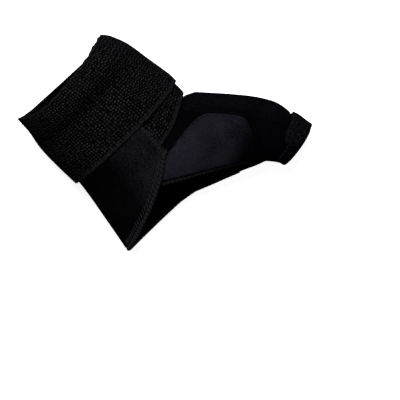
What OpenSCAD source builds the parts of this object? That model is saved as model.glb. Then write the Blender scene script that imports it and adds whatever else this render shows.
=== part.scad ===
// Wrist and thumb splint, right hand, lying palm down as it is worn.
// +X runs from the forearm to the fingers, +Y to the thumb side, +Z up through the back of the hand.

/* [Wrist] */
// Breadth of the wrist inside the forearm edge
wrist_w = 57; // [52:0.5:64]
// Thickness of the wrist inside the forearm edge
wrist_t = 39; // [35:0.5:44]
// How far the thumb side flares out at the wrist crease
flare = 11; // [7:0.5:14]
// Length from the forearm edge to the wrist crease on the thumb side
crease_x = 53; // [49:0.5:58]

/* [Palm] */
// Length of the wrap from the forearm edge to the palm edge
wrap_len = 96; // [90:1:104]
// Breadth from the wrist centre line to the little finger side at the palm edge
palm_reach = 34.5; // [31:0.5:38]
// Thickness of the hand inside the palm edge
palm_t = 37; // [34:0.5:42]

/* [Thumb] */
// Inner diameter of the thumb opening
thumb_d = 21; // [18:0.5:24]
// Distance of the thumb opening from the forearm edge
thumb_reach = 118.5; // [112:0.5:124]
// Distance of the thumb opening from the wrist centre line
thumb_spread = 70.5; // [66:0.5:75]
// Turn of the thumb opening away from the forearm line, in degrees
thumb_turn = 12; // [6:1:20]

/* [Materials] */
// Thickness of the neoprene panels
neoprene_t = 2.5; // [2:0.1:3.5]
// Thickness of the wrist elastic
elastic_t = 1.5; // [1:0.1:2.2]
// Width of the wrist elastic
elastic_w = 46; // [42:0.5:50]
// Thickness of the stay pocket cloth
pocket_t = 1.2; // [0.8:0.1:1.6]
// Free room between two plies that lie on each other
ply_gap = 0.3; // [0.2:0.05:0.5]
// Diameter of the overlocked edge cord
edge_d = 2.6; // [2:0.1:3.2]

/* [Straps] */
// Width of the thumb strap
thumb_strap_w = 12; // [9:0.5:14]
// Thickness of the thumb strap
thumb_strap_t = 1.3; // [1:0.1:1.8]
// Thickness of the hook patches
hook_t = 0.9; // [0.6:0.1:1.2]
// Margin of the hook patches inside their straps
hook_margin = 3; // [2:0.5:5]
// Length of the binding at the thumb opening
hem_len = 3; // [2:0.5:5]

/* [Stays] */
// Width of each stay
stay_w = 6; // [4:0.5:7]
// Thickness of each stay
stay_t = 0.8; // [0.5:0.1:1]
// Length of the cap on each stay end
cap_len = 5; // [3:0.5:8]
// Wall of the stay caps
cap_wall = 0.4; // [0.3:0.05:0.6]

/* [Hidden] */

// Angles round the wrist, in degrees along the way the elastic is wound
radial_a = 360;
palm_a = 450;
ulnar_a = 540;
wrap_start_a = 268;
flap_rise_a = 545;
flap_end_a = 640;
flap_up_a = flap_end_a - 34;
elastic_start_a = 278;
elastic_drop_a = flap_end_a + 50;
peel_a = elastic_drop_a + 28;
elastic_end_a = peel_a + 54;
peel_slit_a = 0.5;

// Heights of the plies above the skin
over_panel = neoprene_t + ply_gap;
over_elastic = over_panel + elastic_t + ply_gap;
over_flap = over_elastic + neoprene_t + ply_gap;
over_hook = over_elastic + hook_t + ply_gap;
under_cuff = over_panel + elastic_t;
flex_gap = 1.5;
hinge_slit = 2.8;
thenar_slit = 4.3;
strap_seat = neoprene_t + ply_gap;
strap_stack = strap_seat + thumb_strap_t;
cap_w = stay_w + 2 * cap_wall;
cap_t = stay_t + 2 * cap_wall;

// Smooth curve through [place, value] stations with rising places
function slope_at(s, i) = let (a = max(i - 1, 0), b = min(i + 1, len(s) - 1))
  (s[b][1] - s[a][1]) / (s[b][0] - s[a][0]);
function span_of(s, x) = max([for (k = [0:len(s) - 2]) if (k == 0 || x >= s[k][0]) k]);
function along(x, s) = let (
    i = span_of(s, x), d = s[i + 1][0] - s[i][0], t = max(0, min(1, (x - s[i][0]) / d)),
    p = s[i][1], q = s[i + 1][1], mp = slope_at(s, i) * d, mq = slope_at(s, i + 1) * d)
  p * (2 * t ^ 3 - 3 * t ^ 2 + 1) + mp * (t ^ 3 - 2 * t ^ 2 + t)
  + q * (3 * t ^ 2 - 2 * t ^ 3) + mq * (t ^ 3 - t ^ 2);
function ease(a, b, x) = let (t = max(0, min(1, (x - a) / (b - a)))) t * t * (3 - 2 * t);
function mix(a, b, t) = a * (1 - t) + b * t;
function bezier(p, t) = p[0] * (1 - t) ^ 3 + 3 * p[1] * t * (1 - t) ^ 2
  + 3 * p[2] * t ^ 2 * (1 - t) + p[3] * t ^ 3;
function unit(v) = v / norm(v);
function steps(a, b, n) = [for (i = [0:n]) a + (b - a) * i / n];

// Wrist and hand: an oval tube, u is the length from the forearm edge and v the angle round it
wrist_r = wrist_w / 2;
bulge = 2.5;
function ulnar_y(x) = -wrist_r + along(x, [[0, -bulge / 2], [0.23 * crease_x, -bulge / 3],
  [0.42 * crease_x, -bulge], [0.68 * crease_x, -bulge + 0.5], [crease_x, 0], [wrap_len, wrist_r - palm_reach]]);
function radial_y(x) = wrist_r + along(x, [[0, -bulge / 2], [0.2 * crease_x, 0.15 * flare],
  [crease_x / 2, flare / 2], [0.75 * crease_x, 0.77 * flare], [crease_x, flare], [wrap_len, flare]]);
function hand_t(x) = along(x, [[0, wrist_t], [crease_x, wrist_t], [wrap_len, palm_t]]);
function skin_bottom(x) = mix(under_cuff, neoprene_t, ease(crease_x - 1, crease_x + 13, x));
function half_y(x) = (radial_y(x) - ulnar_y(x)) / 2;
function mid_y(x) = (radial_y(x) + ulnar_y(x)) / 2;
trunk = function (x, a) [x, mid_y(x) + half_y(x) * cos(radial_a - a),
  skin_bottom(x) + hand_t(x) / 2 * (1 + sin(radial_a - a))];

// Thumb: u runs from the wrist crease (0) to the opening (1), v is the angle round it from the outer ridge
open_r = thumb_d / 2;
open_z = open_r + strap_stack;
open_way = [cos(thumb_turn), sin(thumb_turn)];
open_side = [-sin(thumb_turn), cos(thumb_turn)];
open_c = [thumb_reach, thumb_spread] - hem_len * open_way;
ridge_in = 43;
ridge_out = 14;
ridge_pull = 25;
web_u = 0.85;
seam_u = 0.55;
crease_z = 21.5;
ridge_0 = [crease_x + 2.3, wrist_r + flare + 0.5];
ridge_1 = open_c + open_r * open_side;
ridge = [ridge_0, ridge_0 + ridge_pull * [cos(ridge_in), sin(ridge_in)],
  ridge_1 - ridge_pull * [cos(ridge_out), sin(ridge_out)], ridge_1];
tongue = [wrap_len - 22, -7];
inner_1 = open_c - open_r * open_side;
inner = [tongue, tongue + [12.5, 20], inner_1 - [17.5, 10.5], inner_1];
thenar_end = [wrap_len + 2, 9.5];
function ridge_z(u) = mix(crease_z, open_z, ease(0.1, 1, u));
function back_h(u) = mix(hand_t(crease_x) / 2, open_r, ease(0, 0.95, u));
function palm_h(u) = ridge_z(u) - along(u, [[0, neoprene_t + 7], [0.12, neoprene_t + 3.5],
  [0.26, neoprene_t + 0.8], [0.4, neoprene_t + 0.1], [0.6, neoprene_t + 0.1], [0.82, open_z - open_r],
  [1.1, open_z - open_r]]);
web = bezier(inner, web_u);
thenar_0 = ridge_0 + [6, -8];
thenar_1 = ridge_0 + [15, -18];
thenar_2 = mix(thenar_1, thenar_end, 0.55) + [-1, -2];
function thenar(u) = u >= web_u ? bezier(inner, u)
  : u >= seam_u ? along(u, [[seam_u, thenar_end], [(seam_u + web_u) / 2, mix(thenar_end, web, 0.42)],
      [web_u, web]])
  : along(u, [[0, thenar_0], [0.2, thenar_1], [0.4, thenar_2], [seam_u, thenar_end]]);
function back_max(u) = min(180, along(u, [[0, 114], [0.3, 113], [0.55, 124], [0.72, 154],
  [web_u, 180], [1.1, 180]]));
function palm_max(u) = min(180, along(u, [[0, 120], [0.1, 120], [0.22, 114], [0.38, 106],
  [seam_u, 101], [0.7, 132], [web_u, 180], [1.1, 180]]));
function across(p, q, v, most) = mix(p, q, (1 - cos(v)) / (1 - cos(most)));
back = function (u, v) let (p = across(bezier(ridge, u), bezier(inner, u), v, back_max(u)))
  [p.x, p.y, ridge_z(u) + back_h(u) * sin(v)];
palm = function (u, v) let (p = across(bezier(ridge, u), thenar(u), v, palm_max(u)))
  [p.x, p.y, ridge_z(u) - palm_h(u) * sin(v)];

// A point lifted off a surface; side is 1 or -1, whichever way is outwards
function lifted(f, u, v, o, side) = let (du = 0.004 * max(1, abs(u)), dv = 0.5,
    n = unit(cross(f(u + du, v) - f(u - du, v), f(u, v + dv) - f(u, v - dv))))
  f(u, v) + side * o * n;

// A sheet between two point grids: low and high are lists of rows of the same size
module sheet(low, high) {
  n = len(low);
  m = len(low[0]);
  k = n * m;
  at = function (i, j) i * m + j;
  rim = concat([for (i = [0:n - 2]) at(i, 0)], [for (j = [0:m - 2]) at(n - 1, j)],
    [for (i = [n - 1:-1:1]) at(i, m - 1)], [for (j = [m - 1:-1:1]) at(0, j)]);
  top = [for (i = [0:n - 2], j = [0:m - 2]) each [[at(i, j), at(i, j + 1), at(i + 1, j + 1)],
    [at(i, j), at(i + 1, j + 1), at(i + 1, j)]]];
  sides = [for (r = [0:len(rim) - 1]) let (a = rim[r], b = rim[(r + 1) % len(rim)])
    each [[a, b, b + k], [a, b + k, a + k]]];
  polyhedron(concat([for (r = low) each r], [for (r = high) each r]),
    concat([for (f = top) [f[0] + k, f[1] + k, f[2] + k]],
      [for (f = concat(top, sides)) [f[2], f[1], f[0]]]));
}
// A sheet over a surface: rows are lists of [u, v], lo and hi give the two heights at a [u, v]
module ply(f, rows, lo, hi, side) {
  low = [for (r = rows) [for (p = r) lifted(f, p[0], p[1], lo(p[0], p[1]), side)]];
  high = [for (r = rows) [for (p = r) lifted(f, p[0], p[1], hi(p[0], p[1]), side)]];
  sheet(side > 0 ? low : high, side > 0 ? high : low);
}
function flat(h) = function (u, v) h;
// A round cord along a list of [centre, up] stations
module cord(path, d, sides) {
  n = len(path);
  way = function (i) unit(path[min(i + 1, n - 1)][0] - path[max(i - 1, 0)][0]);
  pts = [for (i = [0:n - 1]) let (t = way(i), b = unit(cross(path[i][1], t)), up = cross(t, b))
    for (k = [0:sides - 1]) path[i][0] + d / 2 * (cos(360 * k / sides) * up + sin(360 * k / sides) * b)];
  at = function (i, k) i * sides + k % sides;
  polyhedron(pts, concat(
    [for (i = [0:n - 2], k = [0:sides - 1]) each [[at(i, k), at(i, k + 1), at(i + 1, k + 1)],
      [at(i, k), at(i + 1, k + 1), at(i + 1, k)]]],
    [for (k = [1:sides - 2]) [at(0, 0), at(0, k + 1), at(0, k)]],
    [for (k = [1:sides - 2]) [at(n - 1, 0), at(n - 1, k), at(n - 1, k + 1)]]));
}
// A station for a cord: a point off a surface with its outward direction
function station(f, u, v, o, side) = let (p = lifted(f, u, v, o, side))
  [p, lifted(f, u, v, o + 1, side) - p];
// A flat bar of width w and thickness t along the same kind of stations
module bar(path, w, t) {
  n = len(path);
  way = function (i) path[min(i + 1, n - 1)][0] - path[max(i - 1, 0)][0];
  across = [for (i = [0:n - 1]) w / 2 * unit(cross(path[i][1], way(i)))];
  grid = function (h) [for (i = [0:n - 1]) [for (k = [-1, 1]) path[i][0] + h * path[i][1] + k * across[i]]];
  sheet(grid(-t / 2), grid(t / 2));
}

// Edge of the crease between wrist and thumb on the back, as x for a given y
crease_k = (tongue.x - ridge_0.x) / (ridge_0.y - tongue.y);
function crease_at(y) = ridge_0.x + (ridge_0.y - y) * crease_k;
// Thenar seam on the wrap side, as x for a given y
seam_off = thenar_slit * [-0.56, -0.83];
seam_rows = [for (u = [seam_u, 0.4, 0.2, 0]) let (p = thenar(u) + seam_off) [p.y, p.x]];
seam_line = concat(seam_rows, [[ridge_0.y + 1, ridge_0.x - hinge_slit]]);
seam_a = 448;
wrap_inset = 6;
flap_inset = 18;
function wrap_x0(a) = along(a, [[wrap_start_a, wrap_inset], [ulnar_a, wrap_inset], [ulnar_a + 20, flap_inset],
  [flap_end_a, flap_inset]]);
function wrap_x1(a) = a <= radial_a ? crease_at(trunk(crease_x + 8, a).y) - hinge_slit * 1.1
  : a < seam_a ? min(wrap_len, along(trunk(crease_x + 17, a).y, seam_line))
  : wrap_len + along(a, [[seam_a, 0], [500, -0.5], [ulnar_a, -2], [570, -4.8], [600, -11.9], [620, -19.3],
      [flap_end_a - 10, -24.2], [flap_end_a, -29.8]]);
wrap_lift = function (x, a) ease(flap_rise_a, flap_up_a, a)
  * mix(over_elastic, over_panel + pocket_t + flex_gap, ease(crease_x + 10, crease_x + 20, x));
wrap_top = function (x, a) wrap_lift(x, a) + neoprene_t;
wrap_angles = concat(steps(wrap_start_a, radial_a, 12), steps(radial_a + 7, seam_a, 15),
  steps(seam_a + 6, flap_rise_a, 12), steps(flap_rise_a + 6, flap_end_a, 20));

// Elastic: distal edge and height along the winding
function elastic_x1(a) = crease_x + along(a, [[elastic_start_a, 10.5], [300, 7.4], [320, 3.4], [340, 0.2],
  [radial_a, -0.8], [palm_a, -2.5], [ulnar_a, -4], [600, -5], [650, -6], [elastic_drop_a, -7], [peel_a, -8],
  [elastic_end_a, -9]]);
function elastic_x0(a) = max(0, elastic_x1(a) - elastic_w);
// Near the forearm edge no flap lies under the outer turn, so it comes closer to the skin
rim_share = 0.45;
rim_len = 14;
function flap_step(x) = (over_flap - over_panel) * mix(rim_share, 1, ease(0, rim_len, x));
elastic_low = function (x, a) over_panel + ease(flap_rise_a, flap_up_a, a) * flap_step(x)
  - ease(flap_end_a + 7, elastic_drop_a, a) * (over_panel + flap_step(x) - over_elastic)
  + ease(peel_a, peel_a + 16, a) * (over_hook - over_elastic);
elastic_top = function (x, a) elastic_low(x, a) + elastic_t;
function elastic_rows(angles, m) = [for (k = [0:len(m) - 1])
  [for (a = angles) [mix(elastic_x0(a) + m[k][1], elastic_x1(a) - m[k][1], m[k][0]), a]]];
elastic_across = [for (k = steps(0, 1, 12)) [k, 0]];

module hand_wrap() {
  rows = [for (k = steps(0, 1, 22)) [for (a = wrap_angles) [mix(wrap_x0(a), wrap_x1(a), k), a]]];
  color([0.055, 0.055, 0.065]) ply(trunk, rows, wrap_lift, wrap_top, 1);
}

module wrist_elastic() {
  angles = concat(steps(elastic_start_a, flap_rise_a, 32), steps(flap_rise_a + 6, peel_a - peel_slit_a, 26));
  color([0.035, 0.035, 0.04]) ply(trunk, elastic_rows(angles, elastic_across), elastic_low, elastic_top, 1);
}

module wrist_strap_end() {
  angles = steps(peel_a + peel_slit_a, elastic_end_a, 9);
  color([0.035, 0.035, 0.04]) ply(trunk, elastic_rows(angles, elastic_across), elastic_low, elastic_top, 1);
}

module wrist_hook() {
  angles = steps(peel_a + 18, elastic_end_a - 2, 6);
  color([0.05, 0.05, 0.055]) ply(trunk, elastic_rows(angles, [for (k = steps(0, 1, 10)) [k, hook_margin]]),
    flat(over_elastic), flat(over_elastic + hook_t), 1);
}

// Thumb all round: v above 0 is the back, below 0 the palm side
thumb = function (u, v) v < 0 ? palm(u, -v) : back(u, v);
joint_v = 0.6;
edge_slit = 0.55;
panel_end_u = 0.988;
cord_end_u = 0.76;
// Millimetres round the thumb for one degree at a place
function per_degree(f, u, v) = norm(f(u, v) - f(u, v - 1));
function edge_cut(f, u, most) = mix((edge_d / 2 + edge_slit) / per_degree(f, u, most), joint_v,
  ease(cord_end_u, cord_end_u + 0.06, u));
function back_edge(u) = back_max(u) - edge_cut(back, u, back_max(u));
function palm_edge(u) = palm_max(u) - (u <= seam_u ? joint_v : edge_cut(palm, u, palm_max(u)));

module thumb_back_panel() {
  rows = [for (u = steps(0, panel_end_u, 18)) [for (k = steps(0, 1, 12)) [u, mix(joint_v, back_edge(u), k)]]];
  color([0.06, 0.06, 0.07]) ply(back, rows, flat(0), flat(neoprene_t), -1);
}

module thumb_palm_panel() {
  rows = [for (u = concat(steps(0, seam_u, 10), steps(seam_u + 0.02, panel_end_u, 10)))
    [for (k = steps(0, 1, 12)) [u, mix(joint_v, palm_edge(u), k)]]];
  color([0.06, 0.06, 0.07]) ply(palm, rows, flat(0), flat(neoprene_t), 1);
}

// Stay covers: a flat border with a raised channel over the stay
back_stay_v = 21;
palm_stay_v = 38;
stay_u0 = 0.2;
stay_u1 = 0.62;
cover_u0 = 0.02;
cover_u1 = 0.8;
channel_w = cap_w / 2 + 0.7;
channel_slope = 2.2;
function channel(f, u, v, at) = 1
  - ease(channel_w, channel_w + channel_slope, abs(v - at) * per_degree(f, u, at));
function cover_low(f, at) = function (u, v) over_panel + channel(f, u, v, at) * (cap_t + 2 * ply_gap)
  * ease(cover_u0, cover_u0 + 0.09, u) * (1 - ease(cover_u1 - 0.08, cover_u1, u));
function cover_top(f, at) = let (low = cover_low(f, at)) function (u, v) low(u, v) + pocket_t;
function cover_v(f, u, at) = (channel_w + channel_slope) / per_degree(f, u, at);
cover_us = concat(steps(cover_u0, 0.13, 5), steps(0.18, cover_u1 - 0.1, 9),
  steps(cover_u1 - 0.08, cover_u1, 3));

module back_stay_cover() {
  rows = [for (u = cover_us) let (w = cover_v(back, u, back_stay_v))
    [for (k = steps(-1, 1, 16)) [u, max(joint_v, back_stay_v + k * w)]]];
  color([0.06, 0.06, 0.07])
    ply(back, rows, cover_low(back, back_stay_v), cover_top(back, back_stay_v), -1);
}

module palm_stay_cover() {
  rows = [for (u = cover_us) let (w = cover_v(palm, u, palm_stay_v))
    [for (k = steps(-1, 1, 16)) [u, max(joint_v, palm_stay_v + k * w)]]];
  color([0.07, 0.07, 0.08])
    ply(palm, rows, cover_low(palm, palm_stay_v), cover_top(palm, palm_stay_v), 1);
}

// Patch on the back: from the pocket to the overlocked edge, its far side cut at a slant
patch_u0 = 0.05;
patch_u1 = 0.73;
pocket_seam_v = 2;
function patch_v0(u) = back_stay_v + cover_v(back, u, back_stay_v) + pocket_seam_v
  + along(u, [[patch_u0, 46], [patch_u0 + 0.03, 30], [patch_u0 + 0.07, 15], [patch_u0 + 0.12, 4],
      [patch_u0 + 0.17, 0], [0.46, 0], [0.52, 5], [0.6, 24], [0.68, 58], [patch_u1, 84]]);

module thumb_patch() {
  us = concat(steps(patch_u0, patch_u0 + 0.12, 5), steps(patch_u0 + 0.16, 0.48, 6), steps(0.52, patch_u1, 6));
  rows = [for (u = us) [for (k = steps(0, 1, 10)) [u, mix(patch_v0(u), back_edge(u) - 3, k)]]];
  color([0.11, 0.105, 0.125]) ply(back, rows, flat(over_panel), flat(over_panel + pocket_t), -1);
}

stay_o = over_panel + cap_t / 2;
function stay_path(f, v, u0, u1, n, side) = [for (u = steps(u0, u1, n)) station(f, u, v, stay_o, side)];

module back_stay() {
  color([0.6, 0.61, 0.63]) bar(stay_path(back, back_stay_v, stay_u0, stay_u1, 12, -1), stay_w, stay_t);
}

module palm_stay() {
  color([0.6, 0.61, 0.63]) bar(stay_path(palm, palm_stay_v, stay_u0, stay_u1, 12, 1), stay_w, stay_t);
}

per_u = 3 * ridge_pull;
cap_u = cap_len / per_u;
cap_slit_u = 0.003;
module stay_caps() {
  low_u = stay_u0 - cap_slit_u;
  high_u = stay_u1 + cap_slit_u;
  for (e = [[low_u - cap_u, low_u], [high_u, high_u + cap_u]]) {
    color([0.12, 0.12, 0.13]) bar(stay_path(back, back_stay_v, e[0], e[1], 3, -1), cap_w, cap_t);
    color([0.12, 0.12, 0.13]) bar(stay_path(palm, palm_stay_v, e[0], e[1], 3, 1), cap_w, cap_t);
  }
}

// Stitches: short thread bars lying on a surface
thread_w = 0.6;
thread_t = 0.4;
lay = 0.35;
stitch_len = 2.2;
module stitch(f, p, q, o, side) {
  h = o + lay + thread_t / 2;
  bar([station(f, p[0], p[1], h, side), station(f, q[0], q[1], h, side)], thread_w, thread_t);
}

module patch_stitches() {
  color([0.16, 0.16, 0.17]) for (u = steps(patch_u0 + 0.04, patch_u1 - 0.08, 17))
    stitch(back, [u, patch_v0(u) + 3], [u + 0.02, patch_v0(u + 0.02) + 3], over_panel + pocket_t, -1);
}

module anchor_stitches() {
  xs = steps(elastic_x1(flap_end_a) + 4, crease_x + 11, 4);
  color([0.16, 0.16, 0.17]) for (x = xs, a = [flap_end_a - 12, flap_end_a - 5])
    stitch(trunk, [x, a], [x + stitch_len, a], wrap_top(x, a), 1);
}

module strap_end_stitches() {
  xs = steps(2 * hook_margin, elastic_x1(elastic_end_a) - 2 * hook_margin - stitch_len, 7);
  color([0.16, 0.16, 0.17]) for (x = xs, a = [peel_a + 21, elastic_end_a - 4])
    stitch(trunk, [x, a], [x + stitch_len, a], over_hook + elastic_t, 1);
}

// Thumb strap
strap_u1 = 0.985;
strap_u0 = strap_u1 - thumb_strap_w / per_u;
strap_sewn_v = -150;
strap_peel_v = -13;
strap_tip_v = 96;
strap_low = function (u, v) strap_seat + ease(15, 45, v) * (hook_t + ply_gap);
strap_top = function (u, v) strap_low(u, v) + thumb_strap_t;

module thumb_strap() {
  vs = steps(strap_sewn_v, strap_peel_v - 1.5, 16);
  rows = [for (u = steps(strap_u0, strap_u1, 6)) [for (v = vs) [u, v]]];
  color([0.1, 0.1, 0.11]) ply(thumb, rows, strap_low, strap_top, -1);
}

module thumb_strap_end() {
  tip = function (k) strap_tip_v - 26 * (1 - sqrt(1 - 0.98 * (2 * k - 1) ^ 2));
  rows = [for (k = steps(0, 1, 10)) let (u = mix(strap_u0, strap_u1, k))
    [for (v = steps(0, 1, 16)) [u, mix(strap_peel_v, tip(k), v)]]];
  color([0.1, 0.1, 0.11]) ply(thumb, rows, strap_low, strap_top, -1);
}

module thumb_hook() {
  inset = hook_margin / per_u;
  us = steps(strap_u0 + inset, strap_u1 - inset, 2);
  rows = [for (u = us) [for (v = steps(47, strap_tip_v - 8, 6)) [u, v]]];
  color([0.05, 0.05, 0.055]) ply(thumb, rows, flat(strap_seat), flat(strap_seat + hook_t), -1);
}

module thumb_strap_bartack() {
  color([0.16, 0.16, 0.17]) for (k = steps(0.12, 0.76, 4)) let (u = mix(strap_u0, strap_u1, k))
    stitch(thumb, [u, strap_sewn_v + 8], [u + 0.012, strap_sewn_v + 18], strap_stack, -1);
}

module thumb_hem() {
  slit = 0.15;
  color([0.08, 0.08, 0.09]) translate([open_c.x, open_c.y, open_z]) rotate([0, 90, thumb_turn])
    translate([0, 0, slit]) difference() {
      cylinder(h = hem_len - slit, r = open_r + neoprene_t, $fn = 64);
      translate([0, 0, -1]) cylinder(h = hem_len + 2, r = open_r, $fn = 64);
    }
}

module thumb_overlock() {
  o = neoprene_t / 2;
  v_edge = [for (u = steps(0.06, cord_end_u, 24)) station(back, u, back_max(u), o, -1)];
  palm_lip = [for (u = steps(seam_u + 0.08, cord_end_u, 8)) station(palm, u, palm_max(u), o, 1)];
  color([0.13, 0.13, 0.14]) cord(v_edge, edge_d, 8);
  color([0.13, 0.13, 0.14]) cord(palm_lip, edge_d, 8);
}

module wrap_overlock() {
  r = edge_d / 2 + edge_slit;
  seat = function (x, a) wrap_lift(x, a) + neoprene_t / 2;
  arc = function (a) norm(trunk(crease_x + 30, a + 1) - trunk(crease_x + 30, a - 1));
  lean = function (a) norm([1, (wrap_x1(a + 1) - wrap_x1(a - 1)) / arc(a)]);
  x_end = wrap_x1(flap_end_a);
  lip = [for (a = steps(seam_a + 2, flap_end_a, 48))
    station(trunk, wrap_x1(a) + r * lean(a), a, seat(wrap_x1(a), a), 1)];
  corner = station(trunk, x_end + r, flap_end_a + 2.2, seat(x_end, flap_end_a), 1);
  end = [for (x = steps(x_end - 1, flap_inset + 4, 10))
    station(trunk, x, flap_end_a + 2.7, seat(x, flap_end_a), 1)];
  color([0.13, 0.13, 0.14]) cord(concat(lip, [corner], end), edge_d, 8);
}

// Gusset: a thinner strip from the wrap to the edge of the thumb panels
gusset_in = 0.35;
gusset_slit = 0.6;
function gusset_back(k) = let (a = mix(wrap_start_a + 2, radial_a, k), y = trunk(crease_x + 8, a).y,
    w = max(0, (ridge_0.y - y) / (ridge_0.y - tongue.y)), v = acos(1 - w * (1 - cos(back_max(0)))))
  [[wrap_x1(a), a], [back, 0, max(joint_v, v), -1]];
crease_share = 0.12;
function gusset_palm(k) = let (u = max(0, (k - crease_share) / (1 - crease_share)) * seam_u,
    v = min(1, k / crease_share) * (palm_max(u) - joint_v), y = palm(u, v).y + seam_off.y, x = crease_x + 17,
    a = radial_a + acos(max(-1, min(1, (y - mid_y(x)) / half_y(x)))))
  [[wrap_x1(a), a], [palm, u, max(joint_v, v), 1]];

module thumb_gusset() {
  marks = concat([for (k = steps(0, 1, 14)) gusset_back(k)], [for (k = steps(0.04, 0.97, 28)) gusset_palm(k)]);
  wrap_side = function (o) [for (m = marks) lifted(trunk, m[0][0], m[0][1], o, 1)];
  thumb_side = function (o) [for (m = marks) lifted(m[1][0], m[1][1], m[1][2], o, m[1][3])];
  toward = function (a, b) [for (i = [0:len(a) - 1]) a[i] + gusset_slit * unit(b[i] - a[i])];
  rows = function (o) [toward(wrap_side(o), thumb_side(o)), toward(thumb_side(o), wrap_side(o))];
  color([0.09, 0.09, 0.1]) sheet(rows(gusset_in), rows(neoprene_t - gusset_in));
}

// Outer limits, for an origin under the middle of the box
low_x = min([for (a = steps(600, elastic_end_a, 20))
  lifted(trunk, elastic_x0(a), a, elastic_top(0, a), 1).x]);
high_x = thumb_reach + (open_r + neoprene_t) * sin(thumb_turn);
low_y = min([for (a = steps(500, 600, 25)) let (x = wrap_x1(a))
  lifted(trunk, x + edge_d / 2, a, wrap_lift(x, a) + neoprene_t / 2, 1).y]) - edge_d / 2;
high_y = max([for (u = steps(strap_u0, strap_u1, 4), v = steps(-30, 30, 12))
  lifted(thumb, u, v, strap_top(u, v), -1).y]);
low_z = min(0, (neoprene_t - edge_d) / 2);
module place() {
  translate([-(low_x + high_x) / 2, -(low_y + high_y) / 2, -low_z]) children();
}

place() hand_wrap();
place() wrist_elastic();
place() wrap_overlock();
place() anchor_stitches();
place() thumb_gusset();
place() thumb_back_panel();
place() thumb_palm_panel();
place() thumb_patch();
place() back_stay_cover();
place() palm_stay_cover();
place() back_stay();
place() palm_stay();
place() stay_caps();
place() patch_stitches();
place() thumb_hem();
place() thumb_overlock();
place() thumb_strap();
place() thumb_strap_bartack();
place() wrist_strap_end();
place() wrist_hook();
place() strap_end_stitches();
place() thumb_strap_end();
place() thumb_hook();
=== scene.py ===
# %% [markdown]
# # Wrist and thumb splint
# A black neoprene brace lies on its palm side. A wide ribbed elastic winds round its wrist end, a smooth
# flap crosses its back, and a thumb sleeve with a flat stay along its outer ridge branches off. The solids
# that were packed before give every place and size. This file dresses them in cloth.

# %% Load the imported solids
import math

import bmesh
import bpy
import numpy as np
from mathutils import Matrix, Vector


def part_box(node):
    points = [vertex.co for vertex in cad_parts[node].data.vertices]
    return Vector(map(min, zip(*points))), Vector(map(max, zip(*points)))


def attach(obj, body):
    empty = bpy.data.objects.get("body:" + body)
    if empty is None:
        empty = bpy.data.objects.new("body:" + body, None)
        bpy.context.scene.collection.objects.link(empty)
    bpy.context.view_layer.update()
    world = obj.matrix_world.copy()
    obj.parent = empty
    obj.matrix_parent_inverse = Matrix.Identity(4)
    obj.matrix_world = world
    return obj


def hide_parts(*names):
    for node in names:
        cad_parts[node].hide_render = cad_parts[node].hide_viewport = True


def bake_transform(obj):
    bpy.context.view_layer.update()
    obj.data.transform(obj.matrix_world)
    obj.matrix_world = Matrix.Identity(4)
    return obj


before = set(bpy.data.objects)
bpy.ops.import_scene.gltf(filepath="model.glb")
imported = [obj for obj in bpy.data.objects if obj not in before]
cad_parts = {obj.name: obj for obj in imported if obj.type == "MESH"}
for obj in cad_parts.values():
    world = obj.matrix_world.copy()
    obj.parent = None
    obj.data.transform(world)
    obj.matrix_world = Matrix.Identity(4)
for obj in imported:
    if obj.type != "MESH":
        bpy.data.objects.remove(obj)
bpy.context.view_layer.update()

# %% [markdown]
# ## Camera
# The picture was taken from almost straight above with a long lens. The camera leans 8 degrees towards the
# wrist end, and the picture is turned so that the sleeve points to the upper right. A look-at constraint
# could aim it, but a matrix built from three axes says exactly which way is right, up and back.

# %% Camera
LEAN, TURN = math.radians(8), math.radians(47.46)
DISTANCE, SENSOR, LENS = 1.2, 36, 196
aim = Vector((0.0420, -0.0130, 0.025))
forward = Vector((math.sin(LEAN), 0, -math.cos(LEAN)))
leaned_x = Vector((math.cos(LEAN), 0, math.sin(LEAN)))
level_y = Vector((0, 1, 0))
right = math.cos(TURN) * leaned_x + math.sin(TURN) * level_y
up = -math.sin(TURN) * leaned_x + math.cos(TURN) * level_y
eye = aim - DISTANCE * forward
camera = bpy.data.objects.new("camera", bpy.data.cameras.new("camera"))
camera.matrix_world = Matrix((right, up, -forward)).transposed().to_4x4()
camera.matrix_world.translation = eye
camera.data.sensor_width = SENSOR
camera.data.lens = LENS
bpy.context.collection.objects.link(camera)
bpy.context.scene.camera = camera
print("camera height in mm:", round(eye.z * 1000))

# %% [markdown]
# ## Backdrop and light
# The picture shows the brace on plain white, with light falling across it from beyond its wrist end. A lamp
# strong enough to burn paper out would wash the black cloth out too, so the paper has a glow of its own
# that only the camera and mirror-like surfaces see, and a faint shadow stays. The paper lies a little below
# the brace, which leaves room for the thumb sleeve to bend down.

# %% Backdrop
DROP, PAPER_HALF, PAPER_GLOW = 0.008, 1.6, 0.88
floor_mesh = bmesh.new()
bmesh.ops.create_grid(floor_mesh, x_segments=2, y_segments=2, size=PAPER_HALF)
bmesh.ops.translate(floor_mesh, vec=(0, 0, -DROP), verts=floor_mesh.verts)
floor = bpy.data.objects.new("backdrop", bpy.data.meshes.new("backdrop"))
floor_mesh.to_mesh(floor.data)
floor_mesh.free()
bpy.context.collection.objects.link(floor)


def new_material(name):
    """A node material and its Principled shader, ready for more nodes."""
    made = bpy.data.materials.new(name)
    made.use_nodes = True
    return made, made.node_tree.nodes["Principled BSDF"]


def calc(tree, kind, a, b=None, c=None):
    """A Math node; each operand is a number or a socket."""
    node = tree.nodes.new("ShaderNodeMath")
    node.operation = kind
    for i, value in enumerate((a, b, c)):
        if value is None:
            continue
        if isinstance(value, (int, float)):
            node.inputs[i].default_value = value
        else:
            tree.links.new(value, node.inputs[i])
    return node.outputs[0]


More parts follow.
